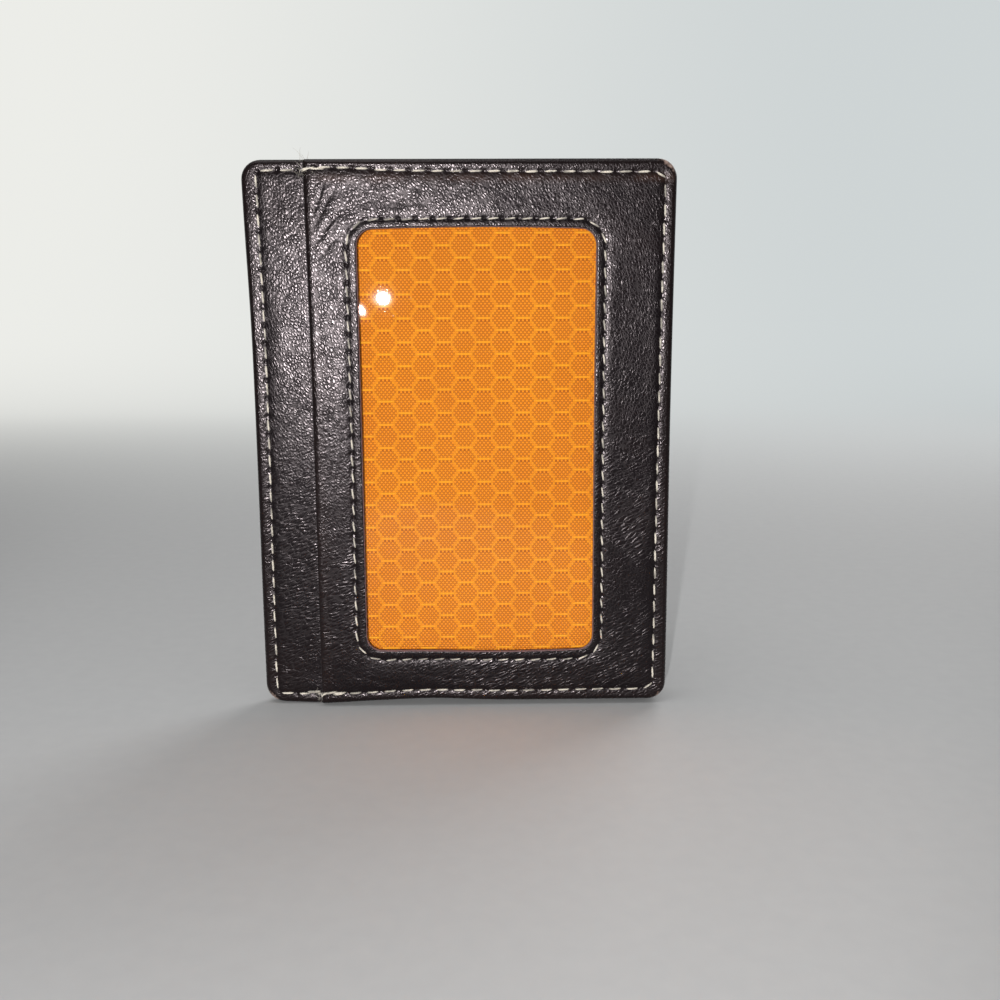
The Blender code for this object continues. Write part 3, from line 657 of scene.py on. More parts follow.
def solid_sheet(outline, face, facing, thickness, rows, butt, seed, dip=0.0):
    """A leather without a hole: its face, its turned edges and its underside, as points, faces and masks.

    rows is what rows_from_edge gives. butt is 1 on columns that end square under the next leather, and dip
    is how far the face falls off towards them.
    Insets run from the middle of the face to its edge, round the edge, and back along the underside.
    """
    x0, x1, z0, z1 = outline.edges
    half = min(x1 - x0, z1 - z0) / 2
    inset, level = rows
    fine_step, fine_end, coarse_step = 0.3 * MM, 4.2 * MM, 0.7 * MM
    fine = inset[0] + np.arange(fine_step, min(fine_end, half) - inset[0].max(), fine_step)[:, None]
    coarse = np.linspace(min(fine_end, half), half, max(int((half - fine_end) / coarse_step), 0) + 2)
    cap = np.concatenate([fine, np.broadcast_to(coarse[:, None], (len(coarse), outline.columns))])[::-1]
    wall = inset[-1:]
    under = blend(wall, half, np.linspace(0.25, 1.0, 5)[:, None])
    insets = np.concatenate([cap, inset, wall, under])
    flat = np.full((1 + len(under), outline.columns), thickness)
    levels = np.concatenate([np.zeros_like(cap), level, flat])
    place = outline.at(insets)
    x, z = place[..., 0], place[..., 1]
    on_face = np.zeros(insets.shape)
    on_face[: len(cap) + TURN_ROWS] = 1.0
    edge = np.where(butt[None, :] > 0.5, FAR_FROM_EDGE, insets)
    proud = relief(x, z, [outer_seam(facing)], edge, seed) - dip * smoothstep(x1 - 0.3 * MM, x1, x)
    points = vectors(x, face + facing * (proud * on_face - levels), z)
    masks = edge_masks(x, z, levels, insets, butt)
    return points.reshape(-1, 3), grid_faces(len(insets), outline.columns, wrap_rows=False), masks


def make_window_panel():
    """Leather of the ID pocket, as one closed ring round its window.

    Rows run from the window's cut edge over the face to the outer edge, round it, and back underneath.
    Near the window they are the window's outline grown outwards, near the edge the panel's outline
    shrunk inwards, and between the two they are a straight blend.
    """
    shape = bpy.context.scene.wallet_shape
    counts, arc = (240, 160, 240, 160), 12
    edges = (ID_MOUTH, CLOSED_SIDE, 0.0, HEIGHT)
    outer = Outline(edges, (OUTER_RADIUS, OUTER_RADIUS, SMALL_RADIUS, SMALL_RADIUS), counts, arc)
    inner = Outline(WINDOW, (WINDOW_RADIUS,) * 4, counts, arc)
    columns = outer.columns
    mouth = outer.share_of({MOUTH})
    upwards = outer.at(np.zeros((1, columns)))[0, :, 1]
    fold = blend(0.25 * MM, 0.6 * MM, smoothstep(0.35 * HEIGHT, 0.85 * HEIGHT, upwards))
    roll = blend(shape.roll, fold, mouth)
    depth = blend(FRONT_SEAM_Y - FRONT_Y, 1.2 * MM, mouth)
    inset, level = rows_from_edge(roll, depth, np.full(columns, UNDER_ROLL), blend(WALL, 4.8 * MM, mouth))

    rim, turn = 0.3 * MM, quarter(6)
    outwards = np.linspace(0.5 * MM, 3.0 * MM, 10)
    grown = np.concatenate([[0.0, 0.0], rim * (1 - np.cos(turn)), outwards])
    grown_level = np.concatenate([[LEATHER, 0.5 * MM], rim * (1 - np.sin(turn)), np.zeros(len(outwards))])
    near_window = inner.at(np.broadcast_to(-grown[:, None], (len(grown), columns)))
    shrunk = roll + 0.1 * MM + (3.8 * MM - roll) * np.linspace(1.0, 0.0, 13)[:, None]
    near_edge = outer.at(shrunk)

    def between(first, second, count):
        """Rows of a straight blend, without its two ends."""
        return blend(first, second, np.linspace(0.0, 1.0, count + 2)[1:-1, None, None])

    middle = between(near_window[-1:], near_edge[:1], 15)
    wall_top = outer.at(inset[-1:])
    underside = between(wall_top, near_window[:1], 2)
    place = np.concatenate([near_window, middle, near_edge, outer.at(inset), wall_top, underside])
    face_rows = len(near_window) + len(middle) + len(near_edge)

    def rows(value, count):
        return np.broadcast_to(value, (count, columns))

    under_rows = 1 + len(underside)
    levels = np.concatenate([
        rows(grown_level[:, None], len(grown)), rows(0.0, len(middle) + len(near_edge)), level,
        rows(LEATHER, under_rows),
    ])
    from_edge = np.concatenate([
        rows(FAR_FROM_EDGE, face_rows - len(shrunk)), shrunk, inset, rows(0.0, under_rows)
    ])
    x, z = place[..., 0], place[..., 1]
    from_rim = rounded_distance(x, z, WINDOW, WINDOW_RADIUS)
    proud = relief(x, z, [outer_seam(FRONT), window_seam()], from_edge, 11, PANEL_CREASES)
    ridge, ridge_width = 0.03 * MM, 0.35 * MM
    proud = proud + ridge * bell(x - ID_MOUTH - fold - 0.45 * MM, ridge_width)
    on_face = np.zeros(levels.shape)
    on_face[2:face_rows + TURN_ROWS] = 1.0
    y = FRONT_Y + levels - proud * on_face * smoothstep(0.0, rim, from_rim)
    masks = edge_masks(x, z, levels, from_edge, np.zeros(columns))
    masks["cut"] = ((1.0 - smoothstep(0.0, rim, from_rim)) * (from_edge == FAR_FROM_EDGE)).ravel()
    shaded = (1.0 - smoothstep(0.02 * MM, 0.18 * MM, x - ID_MOUTH)) * (from_edge < 3.0 * MM)
    masks["shade"] = shaded.ravel()
    points, faces = vectors(x, y, z).reshape(-1, 3), grid_faces(len(place), columns, wrap_rows=True)
    make_object("window_panel_leather", points, faces, "window_panel", LEATHER_LOOK, masks)


def strip_leather(name, node, x0, x1, face, facing, seam_y, mouth_depth, tuck, seed):
    """A strip of leather whose +X side ends square under the next leather, with its skived tail.

    mouth_depth is 0 where the -X side is turned round the wallet's own edge, and otherwise the depth of
    the fold at a mouth. The tail is a thin flat sheet that carries on under the next leather.
    """
    radius = SMALL_RADIUS if mouth_depth else OUTER_RADIUS
    square_radius, square_roll = 0.2 * MM, 0.05 * MM
    radii = (square_radius, square_radius, radius, radius)
    outline = Outline((x0, x1, 0.0, HEIGHT), radii, (240, 34, 240, 34), 8)
    butt = outline.share_of({CLOSED})
    mouth = outline.share_of({MOUTH} if mouth_depth else {})

    def by_side(turned, square, folded):
        """A number for every column: on the turned sides, on the square one, and on a mouth's fold."""
        return turned * (1 - butt - mouth) + square * butt + folded * mouth

    rows = rows_from_edge(
        by_side(bpy.context.scene.wallet_shape.roll, square_roll, 0.5 * MM),
        by_side(abs(seam_y - face), STRIP_LEATHER, mouth_depth),
        by_side(UNDER_ROLL, square_roll, MOUTH_UNDER_ROLL),
        by_side(WALL, 0.4 * MM, 3.6 * MM),
    )
    points, faces, masks = solid_sheet(outline, face, facing, STRIP_LEATHER, rows, butt, seed, 0.06 * MM)
    masks["shade"] = smoothstep(x1 - 0.25 * MM, x1 - 0.1 * MM, points[:, 0])
    lap, from_ends, sunk = 0.6 * MM, 1.35 * MM, 0.12 * MM
    tail_points, tail_faces = flat_solid(
        (x1 - lap, x1 + tuck, from_ends, HEIGHT - from_ends),
        lambda x, z: np.full_like(x, face - facing * sunk), STRIP_LEATHER * 0.5, -facing, (8, 60),
    )
    faces = faces + (np.array(tail_faces) + len(points)).tolist()
    masks = {key: np.append(values, np.zeros(len(tail_points))) for key, values in masks.items()}
    make_object(name, np.concatenate([points, tail_points]), faces, node, LEATHER_LOOK, masks)


def make_back_panel():
    """Leather of the outermost card slot."""
    edges = (THIRD_MOUTH, CLOSED_SIDE, 0.0, HEIGHT)
    radii = (OUTER_RADIUS, OUTER_RADIUS, SMALL_RADIUS, SMALL_RADIUS)
    outline = Outline(edges, radii, (240, 110, 240, 110), 12)
    mouth = outline.share_of({MOUTH})
    rows = rows_from_edge(
        blend(bpy.context.scene.wallet_shape.roll, 0.42 * MM, mouth),
        blend(BACK_Y - BACK_SEAM_Y, LEATHER, mouth),
        blend(UNDER_ROLL, MOUTH_UNDER_ROLL, mouth),
        blend(WALL, 0.8 * MM, mouth),
    )
    no_butt = np.zeros(outline.columns)
    points, faces, masks = solid_sheet(outline, BACK_Y, BACK, LEATHER * 0.98, rows, no_butt, 31)
    make_object("back_panel_leather", points, faces, "back_pocket_panel", LEATHER_LOOK, masks)


# Cloth and clear sheet


def make_clear_sheet():
    """The clear sheet, with soft waves made of soft noise.

    At one place beside the window's rim, its border rises towards the leather, so that it mirrors a lamp a
    second time. The rise is half a parabola along a line that leaves the place where the sheet mirrors the
    lamp, up to a limit, and it fades as a bell across that line.
    """
    low, high = VINYL_BOX
    middle = 0.045 * MM
    mirror_x, mirror_z = -14.2 * MM, 78.0 * MM
    run_left, run_down, rise_start = 0.863, 0.505, 3.6 * MM
    curvature, most, reach = 11.0, 0.045 * MM, 6.0 * MM

    def level(x, z):
        inside = smoothstep(0.0, 3.2 * MM, -rounded_distance(x, z, WINDOW, WINDOW_RADIUS))
        wave = 0.006 * MM * cloud(x, z, 21 * MM, 51)
        left, down = mirror_x - x, mirror_z - z
        run = np.maximum(run_left * left + run_down * down - rise_start, 0.0)
        rise = 0.5 * curvature * run**2 * bell(run_down * left - run_left * down, reach)
        return low[1] + middle + inside * wave - np.minimum(rise, most)

    points, faces = flat_solid((low[0], high[0], low[2], high[2]), level, high[1] - low[1], BACK, (130, 190))
    make_object("clear_window_sheet", points, faces, "id_window", CLEAR_LOOK)


def cloth_level(node, seed):
    """Y of a lining's near face: flat, or bent between the two levels that its node has."""
    low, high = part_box(node)
    near, far = low[1], high[1] - LINING
    slope = 1.0 * MM
    start, levels = low[0], (near, near)
    if node == "id_pocket_lining":
        start, levels = ID_MOUTH + 5.6 * MM, (far, near)
    elif node == "back_wall_lining":
        start, levels = FIRST_MOUTH + 6.1 * MM, (near, far)
    elif node in ("first_slot_lining", "second_slot_lining"):
        start, levels = high[0] - 3.0 * MM - slope, (far, near)
    wave = 0.04 * MM if near != far else 0.0

    def level(x, z):
        return np.interp(x, (start, start + slope), levels) + wave * cloud(x, z, 19 * MM, seed)

    return level


def make_cloth(name, node, look, counts, seed):
    """A sheet of cloth cut to its edges, laid flat inside the wallet."""
    low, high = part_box(node)
    x0, x1, z0, z1 = low[0], high[0], low[2], high[2]
    points, faces = flat_solid((x0, x1, z0, z1), cloth_level(node, seed), LINING, BACK, counts)
    cloth = make_object(name, points, faces, node, look)


# Finishes


class Nodes:
    """Adds shader nodes to one tree, and hands on their outputs."""

    def __init__(self, tree):
        self.tree = tree

    def feed(self, socket, value):
        """Links a socket to another's output, or sets its value."""
        if isinstance(value, bpy.types.NodeSocket):
            self.tree.links.new(value, socket)
        else:
            socket.default_value = value

    def add(self, kind, inputs=None, **settings):
        """A node with settings, and with inputs by name or number."""
        node = self.tree.nodes.new(kind)
        for key, value in settings.items():
            setattr(node, key, value)
        for key, value in (inputs or {}).items():
            self.feed(node.inputs[key], value)
        return node

    def math(self, operation, *values, clamp=False):
        """Output of one Math node."""
        inputs = dict(enumerate(values))
        return self.add("ShaderNodeMath", inputs, operation=operation, use_clamp=clamp).outputs[0]

    def times(self, first, second):
        """A product."""
        return self.math("MULTIPLY", first, second)

    def line(self, value, slope, start, clamp=False):
        """A value times a slope, plus a start."""
        return self.math("MULTIPLY_ADD", value, slope, start, clamp=clamp)

    def vector(self, operation, *values):
        """Output of one Vector Math node."""
        return self.add("ShaderNodeVectorMath", dict(enumerate(values)), operation=operation).outputs[0]

    def split(self, vector):
        """X, Y and Z of a vector."""
        return self.add("ShaderNodeSeparateXYZ", {0: vector}).outputs

    def turned(self, vector, angle):
        """A vector turned about Y."""
        return self.add("ShaderNodeMapping", {"Vector": vector, "Rotation": (0.0, angle, 0.0)}).outputs[0]

    def ramp(self, value, low, high, to_low=0.0, to_high=1.0):
        """A value mapped smoothly from one range to another."""
        inputs = {"Value": value, "From Min": low, "From Max": high, "To Min": to_low, "To Max": to_high}
        return self.add("ShaderNodeMapRange", inputs, interpolation_type="SMOOTHSTEP").outputs["Result"]

    def noise(self, place, scale, detail, output="Fac"):
        """Soft noise."""
        inputs = {"Vector": place, "Scale": scale, "Detail": detail}
        return self.add("ShaderNodeTexNoise", inputs).outputs[output]

    def mix(self, share, first, second):
        """One number mixed into another."""
        return self.add("ShaderNodeMix", {0: share, 2: first, 3: second}, data_type="FLOAT").outputs[0]

    def mix_colour(self, share, *colours, kind="MIX"):
        """One colour mixed into another."""
        first, second = (part if isinstance(part, bpy.types.NodeSocket) else (*part, 1.0) for part in colours)
        inputs = {0: share, 6: first, 7: second}
        return self.add("ShaderNodeMix", inputs, data_type="RGBA", blend_type=kind).outputs[2]

    def group(self, name, **inputs):
        """Outputs of a node group, placed with these inputs."""
        node = self.add("ShaderNodeGroup", node_tree=bpy.data.node_groups[name])
        for key, value in inputs.items():
            self.feed(node.inputs[key.capitalize()], value)
        return node.outputs


class Group(Nodes):
    """A new shader node group: a vector and these numbers go in, and these numbers come out."""

    def __init__(self, name, inputs, outputs):
        old = bpy.data.node_groups.get(name)
        if old is not None:
            bpy.data.node_groups.remove(old)
        super().__init__(bpy.data.node_groups.new(name, "ShaderNodeTree"))
        sockets = self.tree.interface
        sockets.new_socket(name="Vector", in_out="INPUT", socket_type="NodeSocketVector")
        for label, default in inputs.items():
            socket = sockets.new_socket(name=label, in_out="INPUT", socket_type="NodeSocketFloat")
            socket.default_value = default
        for label in outputs:
            sockets.new_socket(name=label, in_out="OUTPUT", socket_type="NodeSocketFloat")
        self.given = self.tree.nodes.new("NodeGroupInput").outputs
        self.result = self.tree.nodes.new("NodeGroupOutput").inputs

    def give(self, **values):
        """Links the outputs."""
        for key, value in values.items():
            self.feed(self.result[key], value)


class Finish(Nodes):
    """A new material with its Principled shader, and its Object coordinates as place."""

    def __init__(self, name):
        self.material = bpy.data.materials.new(name)
        self.material.use_nodes = True
        super().__init__(self.material.node_tree)
        self.shader = self.tree.nodes["Principled BSDF"]
        self.place = self.tree.nodes.new("ShaderNodeTexCoord").outputs["Object"]

    def set(self, socket, value):
        """Feeds an input of the shader."""
        self.feed(self.shader.inputs[socket], value)

    def bump(self, height, distance):
        """Feeds a height to the shader's normal."""
        node = self.add("ShaderNodeBump", {"Height": height, "Distance": distance})
        self.set("Normal", node.outputs["Normal"])

    def mask(self, name):
        """A mask that the mesh carries."""
        return self.add("ShaderNodeAttribute", attribute_name=name).outputs["Fac"]

    def cover(self, share, other):
        """Mixes another shader over the Principled one."""
        inputs = {0: share, 1: self.shader.outputs[0], 2: other.outputs[0]}
        mixed = self.add("ShaderNodeMixShader", inputs).outputs[0]
        self.feed(self.tree.nodes["Material Output"].inputs["Surface"], mixed)


def make_grain_group():
    """Pebbled leather: cells with low domes and narrow creases that are seldom deep, finer cells in them, and
    fine noise.

    The cells are a little longer down one slope. Where Wrinkle is 1, they are drawn out up the other one and
    stand taller, as leather creases when it is bent.
    """
    n = Group("leather_grain", {"Cell": 0.0007, "Wrinkle": 0.0}, ("Height", "Crease", "Tone"))
    place, wrinkle = n.given["Vector"], n.given["Wrinkle"]
    density = n.math("DIVIDE", 1.0, n.given["Cell"])
    shift = n.vector("SUBTRACT", n.noise(place, 380.0, 2.0, "Color"), (0.5, 0.5, 0.5))
    moved = n.vector("MULTIPLY_ADD", shift, (0.0009, 0.0009, 0.0009), place)

    def cells(angle, stretch, times=1.0):
        """Distance from the nearest crease of stretched cells."""
        scaled = n.vector("MULTIPLY", n.turned(moved, angle), stretch)
        inputs = {"Vector": scaled, "Scale": n.times(density, times)}
        return n.add("ShaderNodeTexVoronoi", inputs, feature="DISTANCE_TO_EDGE").outputs["Distance"]

    mixed = n.mix(wrinkle, cells(-1.05, (0.75, 0.9, 1.2)), cells(0.44, (0.34, 0.8, 1.0)))
    depth = n.ramp(n.noise(place, 600.0, 1.0), 0.44, 0.6, 0.13, 0.54)
    creased = n.times(n.ramp(mixed, 0.0, 0.15), depth)
    height = n.line(n.ramp(mixed, 0.0, 0.45), n.line(wrinkle, 0.70, 0.42), creased)
    height = n.line(n.ramp(cells(0.0, (1.0, 1.0, 1.0), 2.4), 0.0, 0.25), 0.03, height)
    height = n.line(n.noise(place, 700.0, 3.0), 0.13, height)
    n.give(Height=height, Crease=n.ramp(mixed, 0.02, 0.14, 1.0, 0.0), Tone=n.noise(place, 75.0, 3.0))


def make_rub_group():
    """Rubbed patches: a mask broken up by fine and coarse noise."""
    n = Group("rubbed_patches", {"Mask": 0.0, "Scale": 1400.0}, ("Amount",))
    noise = n.noise(n.given["Vector"], n.given["Scale"], 4.0)
    n.give(Amount=n.ramp(n.line(noise, 0.9, n.given["Mask"]), 0.78, 1.15))


def make_weave_group():
    """Plain weave in the XZ plane: threads that pass over and under each other.

    Across is the width of an upright thread and Along the height of a sideways one. A thread is a parabola
    across and a flatter one along. Float is 1 where a sideways thread must lie on top.
    """
    n = Group("plain_weave", {**THREAD_SIZE, "Float": 0.0}, ("Height", "Over"))
    place = n.split(n.given["Vector"])
    across = n.math("DIVIDE", place["X"], n.given["Across"])
    along = n.math("DIVIDE", place["Z"], n.given["Along"])
    count = n.math("ADD", n.math("FLOOR", across), n.math("FLOOR", along))
    over = n.math("MAXIMUM", n.math("FLOORED_MODULO", count, 2.0), n.given["Float"])

    def hump(value, depth):
        """A parabola over each thread, as deep as given at its sides."""
        centred = n.math("SUBTRACT", n.math("FRACT", value), 0.5)
        return n.line(n.times(centred, centred), -4.0 * depth, 1.0)

    steep, flat = 0.8, 0.35
    sideways = n.times(hump(along, steep), hump(across, flat))
    upright = n.times(hump(across, steep), hump(along, flat))
    n.give(Height=n.mix(over, upright, sideways), Over=over)


def make_hexagon_group():
    """Outlines of hexagons with level tops and steep sides, in steps of one thread.

    The place is rounded to the middle of its thread, and wrapped into two lattices of centres. For each
    centre, one number is 1 on its hexagon's border: the greater of the height over the half height, and the
    distance along a side's normal over the side's distance. The lesser of the two centres' numbers counts.
    Bar is 1 on a level top, and the third output is 1 on the row of threads beneath it, where the ripstop has a
    painted shadow.
    """
    n = Group("hexagon_outlines", {**THREAD_SIZE, "Width": 0.12}, ("Line", "Bar", "Below"))
    half_width, half_height = 10.0, 5.0
    half, minus = (half_width, 1.0, half_height), (-half_width, -1.0, -half_height)
    half_top, slope = 3.7, 2.6
    reach = half_height * (half_width - half_top)
    bar_from, below_from = 0.9, 0.7
    step = n.add("ShaderNodeCombineXYZ", {0: n.given["Across"], 1: 1.0, 2: n.given["Along"]}).outputs[0]
    threads = n.vector("FLOOR", n.vector("DIVIDE", n.given["Vector"], step))

    def border(place):
        """The height over the half height, with its sign, and how near the border a place is."""
        centred = n.vector("WRAP", place, half, minus)
        size = n.split(n.vector("ABSOLUTE", centred))
        side = n.line(size["Z"], slope / reach, n.times(size["X"], half_height / reach))
        level = n.math("DIVIDE", size["Z"], half_height)
        return n.math("DIVIDE", n.split(centred)["Z"], half_height), n.math("MAXIMUM", level, side)

    first_level, first = border(threads)
    second_level, second = border(n.vector("ADD", threads, half))
    number = n.math("MINIMUM", first, second)
    level = n.mix(n.math("LESS_THAN", second, first), first_level, second_level)
    limit = n.math("SUBTRACT", 1.0, n.given["Width"])
    below = n.times(n.math("GREATER_THAN", level, below_from), n.math("LESS_THAN", level, bar_from))
    n.give(
        Line=n.math("GREATER_THAN", number, limit),
        Bar=n.math("GREATER_THAN", n.math("ABSOLUTE", level), bar_from),
        Below=n.times(below, n.math("GREATER_THAN", number, below_from)),
    )


def make_twist_group():
    """Two plies twisted together: a wave that winds round the thread as it runs along. The second output is 1
    between the plies, where the thread's finish paints shade.
    """
    n = Group("twisted_thread", {"Turns": 3.0}, ("Height", "Gap"))
    place = n.split(n.given["Vector"])
    wound = n.line(place["X"], n.given["Turns"], place["Y"])
    wave = n.math("ABSOLUTE", n.math("SINE", n.times(wound, 2.0 * math.pi)))
    n.give(Height=n.math("POWER", wave, 0.6), Gap=n.ramp(wave, 0.0, 0.45, 1.0, 0.0))


def darker(colour, share):
    """A colour's share."""
    return tuple(part * share for part in colour)


def leather_finish(colours):
    """Dark brown leather: pebbled, glossy on its pebbles, warmer and rougher along its edges, with painted
    shade in its creases and painted sheen in a band under the upper stitches.
    """
    n = Finish("pebbled_leather")
    low = n.ramp(n.split(n.place)["Z"], 0.068, 0.030)
    wrinkle = n.times(low, n.ramp(n.noise(n.place, 55.0, 1.0), 0.3, 0.5))
    grain = n.group("leather_grain", vector=n.place, cell=0.00058, wrinkle=wrinkle)
    warmth_and_sheen = n.line(n.mask("edge"), 0.12, n.ramp(grain["Tone"], 0.45, 0.75, 0.0, 0.08))
    # Painted sheen: adds the lighter reddish band under the upper stitches.
    warmth_and_sheen = n.math("ADD", warmth_and_sheen, n.mask("warmth_and_sheen"), clamp=True)
    # Painted shade: the base colour is darkened in the grain's creases.
    shade = n.line(grain["Crease"], -0.4, 1.0)
    crease_shade_colour = n.add("ShaderNodeCombineColor", {0: shade, 1: shade, 2: shade}).outputs[0]
    colour = n.mix_colour(warmth_and_sheen, colours.leather, colours.leather_warm_and_sheen)
    colour = n.mix_colour(1.0, colour, crease_shade_colour, kind="MULTIPLY")
    bare = n.group("rubbed_patches", vector=n.place, mask=n.mask("cut"), scale=1800.0)["Amount"]
    colour = n.mix_colour(bare, colour, colours.raw_edge)
    rubbed = n.group("rubbed_patches", vector=n.place, mask=n.mask("worn"), scale=1300.0)["Amount"]
    n.set("Base Color", n.mix_colour(rubbed, colour, colours.worn))
    rough = n.line(n.mask("shade"), 0.5, n.line(grain["Crease"], 0.14, 0.225))
    n.set("Roughness", n.line(n.math("MAXIMUM", bare, rubbed), 0.35, rough, clamp=True))
    n.set("Specular IOR Level", 0.275)
    n.set("Specular Tint", (1.0, 0.87, 0.89, 1.0))
    n.bump(grain["Height"], 0.000030)


def ripstop_finish(colours):
    """Orange ripstop: a plain weave with hexagons of thicker thread, with painted shade where upright threads
    cross, on each thread's sides and on the row beneath each bar, and a painted highlight on the hexagons'
    threads.
    """
    n = Finish("hexagon_ripstop")
    lines = n.group("hexagon_outlines", vector=n.place)
    weave = n.group("plain_weave", vector=n.place, float=lines["Bar"])
    under = n.math("SUBTRACT", 1.0, weave["Over"])
    # Painted shade: upright threads on top are darker, and darker still in the row beneath a bar, as a painted
    # shadow.
    weave_shade = n.line(n.times(under, n.line(lines["Below"], 0.3, 0.5)), -1.0, 1.0)
    # Painted shade towards each thread's sides.
    weave_shade = n.times(weave_shade, n.ramp(weave["Height"], 0.0, 0.8))
    kept = n.line(lines["Bar"], 0.12, n.times(lines["Line"], 0.68))
    weave_shade = n.math("MAXIMUM", weave_shade, kept)
    colour = n.mix_colour(weave_shade, colours.ripstop_shade_and_mottle, colours.ripstop)
    # Painted highlight: the hexagons' threads and bars are brightened.
    painted_highlight = tuple(min(part, 1.0) for part in darker(colours.ripstop, 1.3))
    highlight_share = n.line(lines["Bar"], 0.3, n.times(lines["Line"], 0.35))
    colour = n.mix_colour(n.times(highlight_share, weave_shade), colour, painted_highlight)
    cloudy = n.ramp(n.noise(n.place, 60.0, 2.0), 0.3, 0.75, 0.0, 0.12)
    n.set("Base Color", n.mix_colour(cloudy, colour, colours.ripstop_shade_and_mottle))
    n.set("Roughness", n.line(weave["Height"], -0.15, 0.62))
    n.set("Specular IOR Level", 0.2)
    n.bump(n.line(lines["Bar"], 0.25, weave["Height"]), 0.00009)


def lining_finish(colours):
    """Brown lining cloth in a plain weave, with painted shade towards the sides of its threads."""
    n = Finish("brown_plain_weave")
    height = n.group("plain_weave", vector=n.place, across=0.00033, along=0.00036)["Height"]
    # Painted shade: darker towards the sides of the threads.
    n.set("Base Color", n.mix_colour(height, darker(colours.lining, 0.45), colours.lining))
    n.set("Roughness", n.line(height, -0.15, 0.8))
    n.set("Sheen Weight", 0.2)
    n.bump(height, 0.00009)


def thread_finish(colours):
    """Cream thread: two plies, with painted shade between them and random darker patches."""
    n = Finish("two_ply_thread")
    along = n.add("ShaderNodeUVMap", uv_map="along").outputs["UV"]
    twist = n.group("twisted_thread", vector=along, turns=2.5)
    # Random darker patches along the thread.
    dark_patches = n.ramp(n.noise(n.place, 520.0, 4.0), 0.38, 0.68, 0.0, 0.9)
    colour = n.mix_colour(dark_patches, colours.thread, darker(colours.thread, 0.28))
    # Painted shade between the plies.
    n.set("Base Color", n.mix_colour(n.times(twist["Gap"], 0.6), colour, darker(colours.thread, 0.35)))
    n.set("Roughness", n.line(twist["Height"], -0.12, 0.66))
    n.set("Sheen Weight", 0.25)
    n.bump(twist["Height"], 0.00006)


def clear_finish():
    """Clear sheet: glossy, with faint scratches and specks. Lamps reach the cloth behind it.

    Only its outer side mirrors, as a thin sheet's two sides mirror at the same place.
    """
    n = Finish("clear_plastic")
    n.set("Base Color", (1.0, 0.99, 0.97, 1.0))
    n.set("Transmission Weight", 1.0)
    n.set("IOR", 1.33)
    drawn = n.vector("MULTIPLY", n.turned(n.place, 0.5), (1.0, 1.0, 0.09))
    seldom = n.ramp(n.noise(n.place, 130.0, 2.0), 0.5, 0.6)
    scratch = n.times(n.ramp(n.noise(drawn, 2300.0, 1.0), 0.70, 0.74), seldom)
    speck = n.times(n.ramp(n.noise(n.place, 2600.0, 2.0), 0.725, 0.755), 0.075)
    speck = n.math("MAXIMUM", speck, n.times(scratch, 0.03))
    n.set("Roughness", n.math("ADD", speck, 0.012))
    n.bump(n.noise(n.place, 60.0, 1.0), 0.000015)
    rays = n.tree.nodes.new("ShaderNodeLightPath").outputs
    inner = n.tree.nodes.new("ShaderNodeNewGeometry").outputs["Backfacing"]
    lit = n.math("MAXIMUM", n.math("MAXIMUM", rays["Is Shadow Ray"], rays["Is Diffuse Ray"]), inner)
    n.cover(lit, n.add("ShaderNodeBsdfTransparent", {"Color": (0.97, 0.97, 0.96, 1.0)}))


def board_finish(colours):
    """Bonded board: short pressed fibres."""
    n = Finish("pressed_board")
    fibres = n.noise(n.place, 900.0, 5.0)
    n.set("Base Color", n.mix_colour(fibres, darker(colours.board, 0.6), colours.board))
    n.set("Roughness", n.line(fibres, 0.1, 0.82))
    n.bump(fibres, 0.00008)


# Stitching


def make_stitching(seam_name, starts, ends, facing, levels, width, seed, lift=0.12 * MM):
    """One object of stitches."""
    points, faces, uv = stitch_mesh(starts, ends, facing, levels, width, lift, seed)
    make_object(f"{seam_name}_stitches", points, faces, f"{seam_name}_stitching", THREAD_LOOK, uv=uv)


def make_backtack(end, z, places, inwards, width, seed, strays=()):
    """Doubled stitches at one end of the ID mouth: short runs that overlap the seam, and loose fibres.

    places are the stitches' middles, in millimetres from the mouth. strays are long fibres at the top: X from
    the mouth, sideways lean, and length, the first and the last in millimetres.
    """
    chance = np.random.default_rng(seed)
    middle = ID_MOUTH + np.array(places) * MM
    half_stitch = 1.25 * MM
    offset = z + inwards * 0.1 * MM + chance.normal(0.0, 0.07 * MM, len(middle))
    tilt = chance.normal(0.0, 0.12 * MM, len(middle))
    seam = outer_seam(FRONT)

    def tips(side):
        """The stitches' ends on one side."""
        x = middle + side * half_stitch
        return vectors(x, offset + side * tilt + seam.lift(x, offset))

    points, faces, uv = stitch_mesh(tips(-1.0), tips(1.0), FRONT, face_level(FRONT), width, 0.2 * MM, seed)
    count = bpy.context.scene.wallet_shape.hairs
    beside, sunk, around = 1.4 * MM, 0.2 * MM, 0.6 * MM
    roots = vectors(
        chance.uniform(ID_MOUTH - beside, ID_MOUTH + beside, count),
        chance.uniform(FRONT_Y - sunk, STRIP_Y - sunk, count),
        z + chance.uniform(-around, around, count),
    )
    leans = chance.normal(0.0, 0.6, (count, 3)) + np.array([0.0, -0.5, 0.0])
    lengths = chance.uniform(0.6 * MM, 1.9 * MM, count)
    for x, lean, reach in strays:
        roots = np.append(roots, [(ID_MOUTH + x * MM, STRIP_Y, HEIGHT - 0.5 * MM)], axis=0)
        leans = np.append(leans, [(lean, -0.1, 1.0)], axis=0)
        lengths = np.append(lengths, reach * MM)
    fibres, fibre_faces = fibre_mesh(roots, leans, lengths, 0.08 * MM, seed)
    faces = faces + [[index + len(points) for index in face] for face in fibre_faces]
    uv = np.concatenate([uv, np.zeros((len(fibres), 2))])
    points = np.concatenate([points, fibres])
    make_object(f"{end}_mouth_tack", points, faces, f"{end}_mouth_backtack", THREAD_LOOK, uv=uv)


# Stage


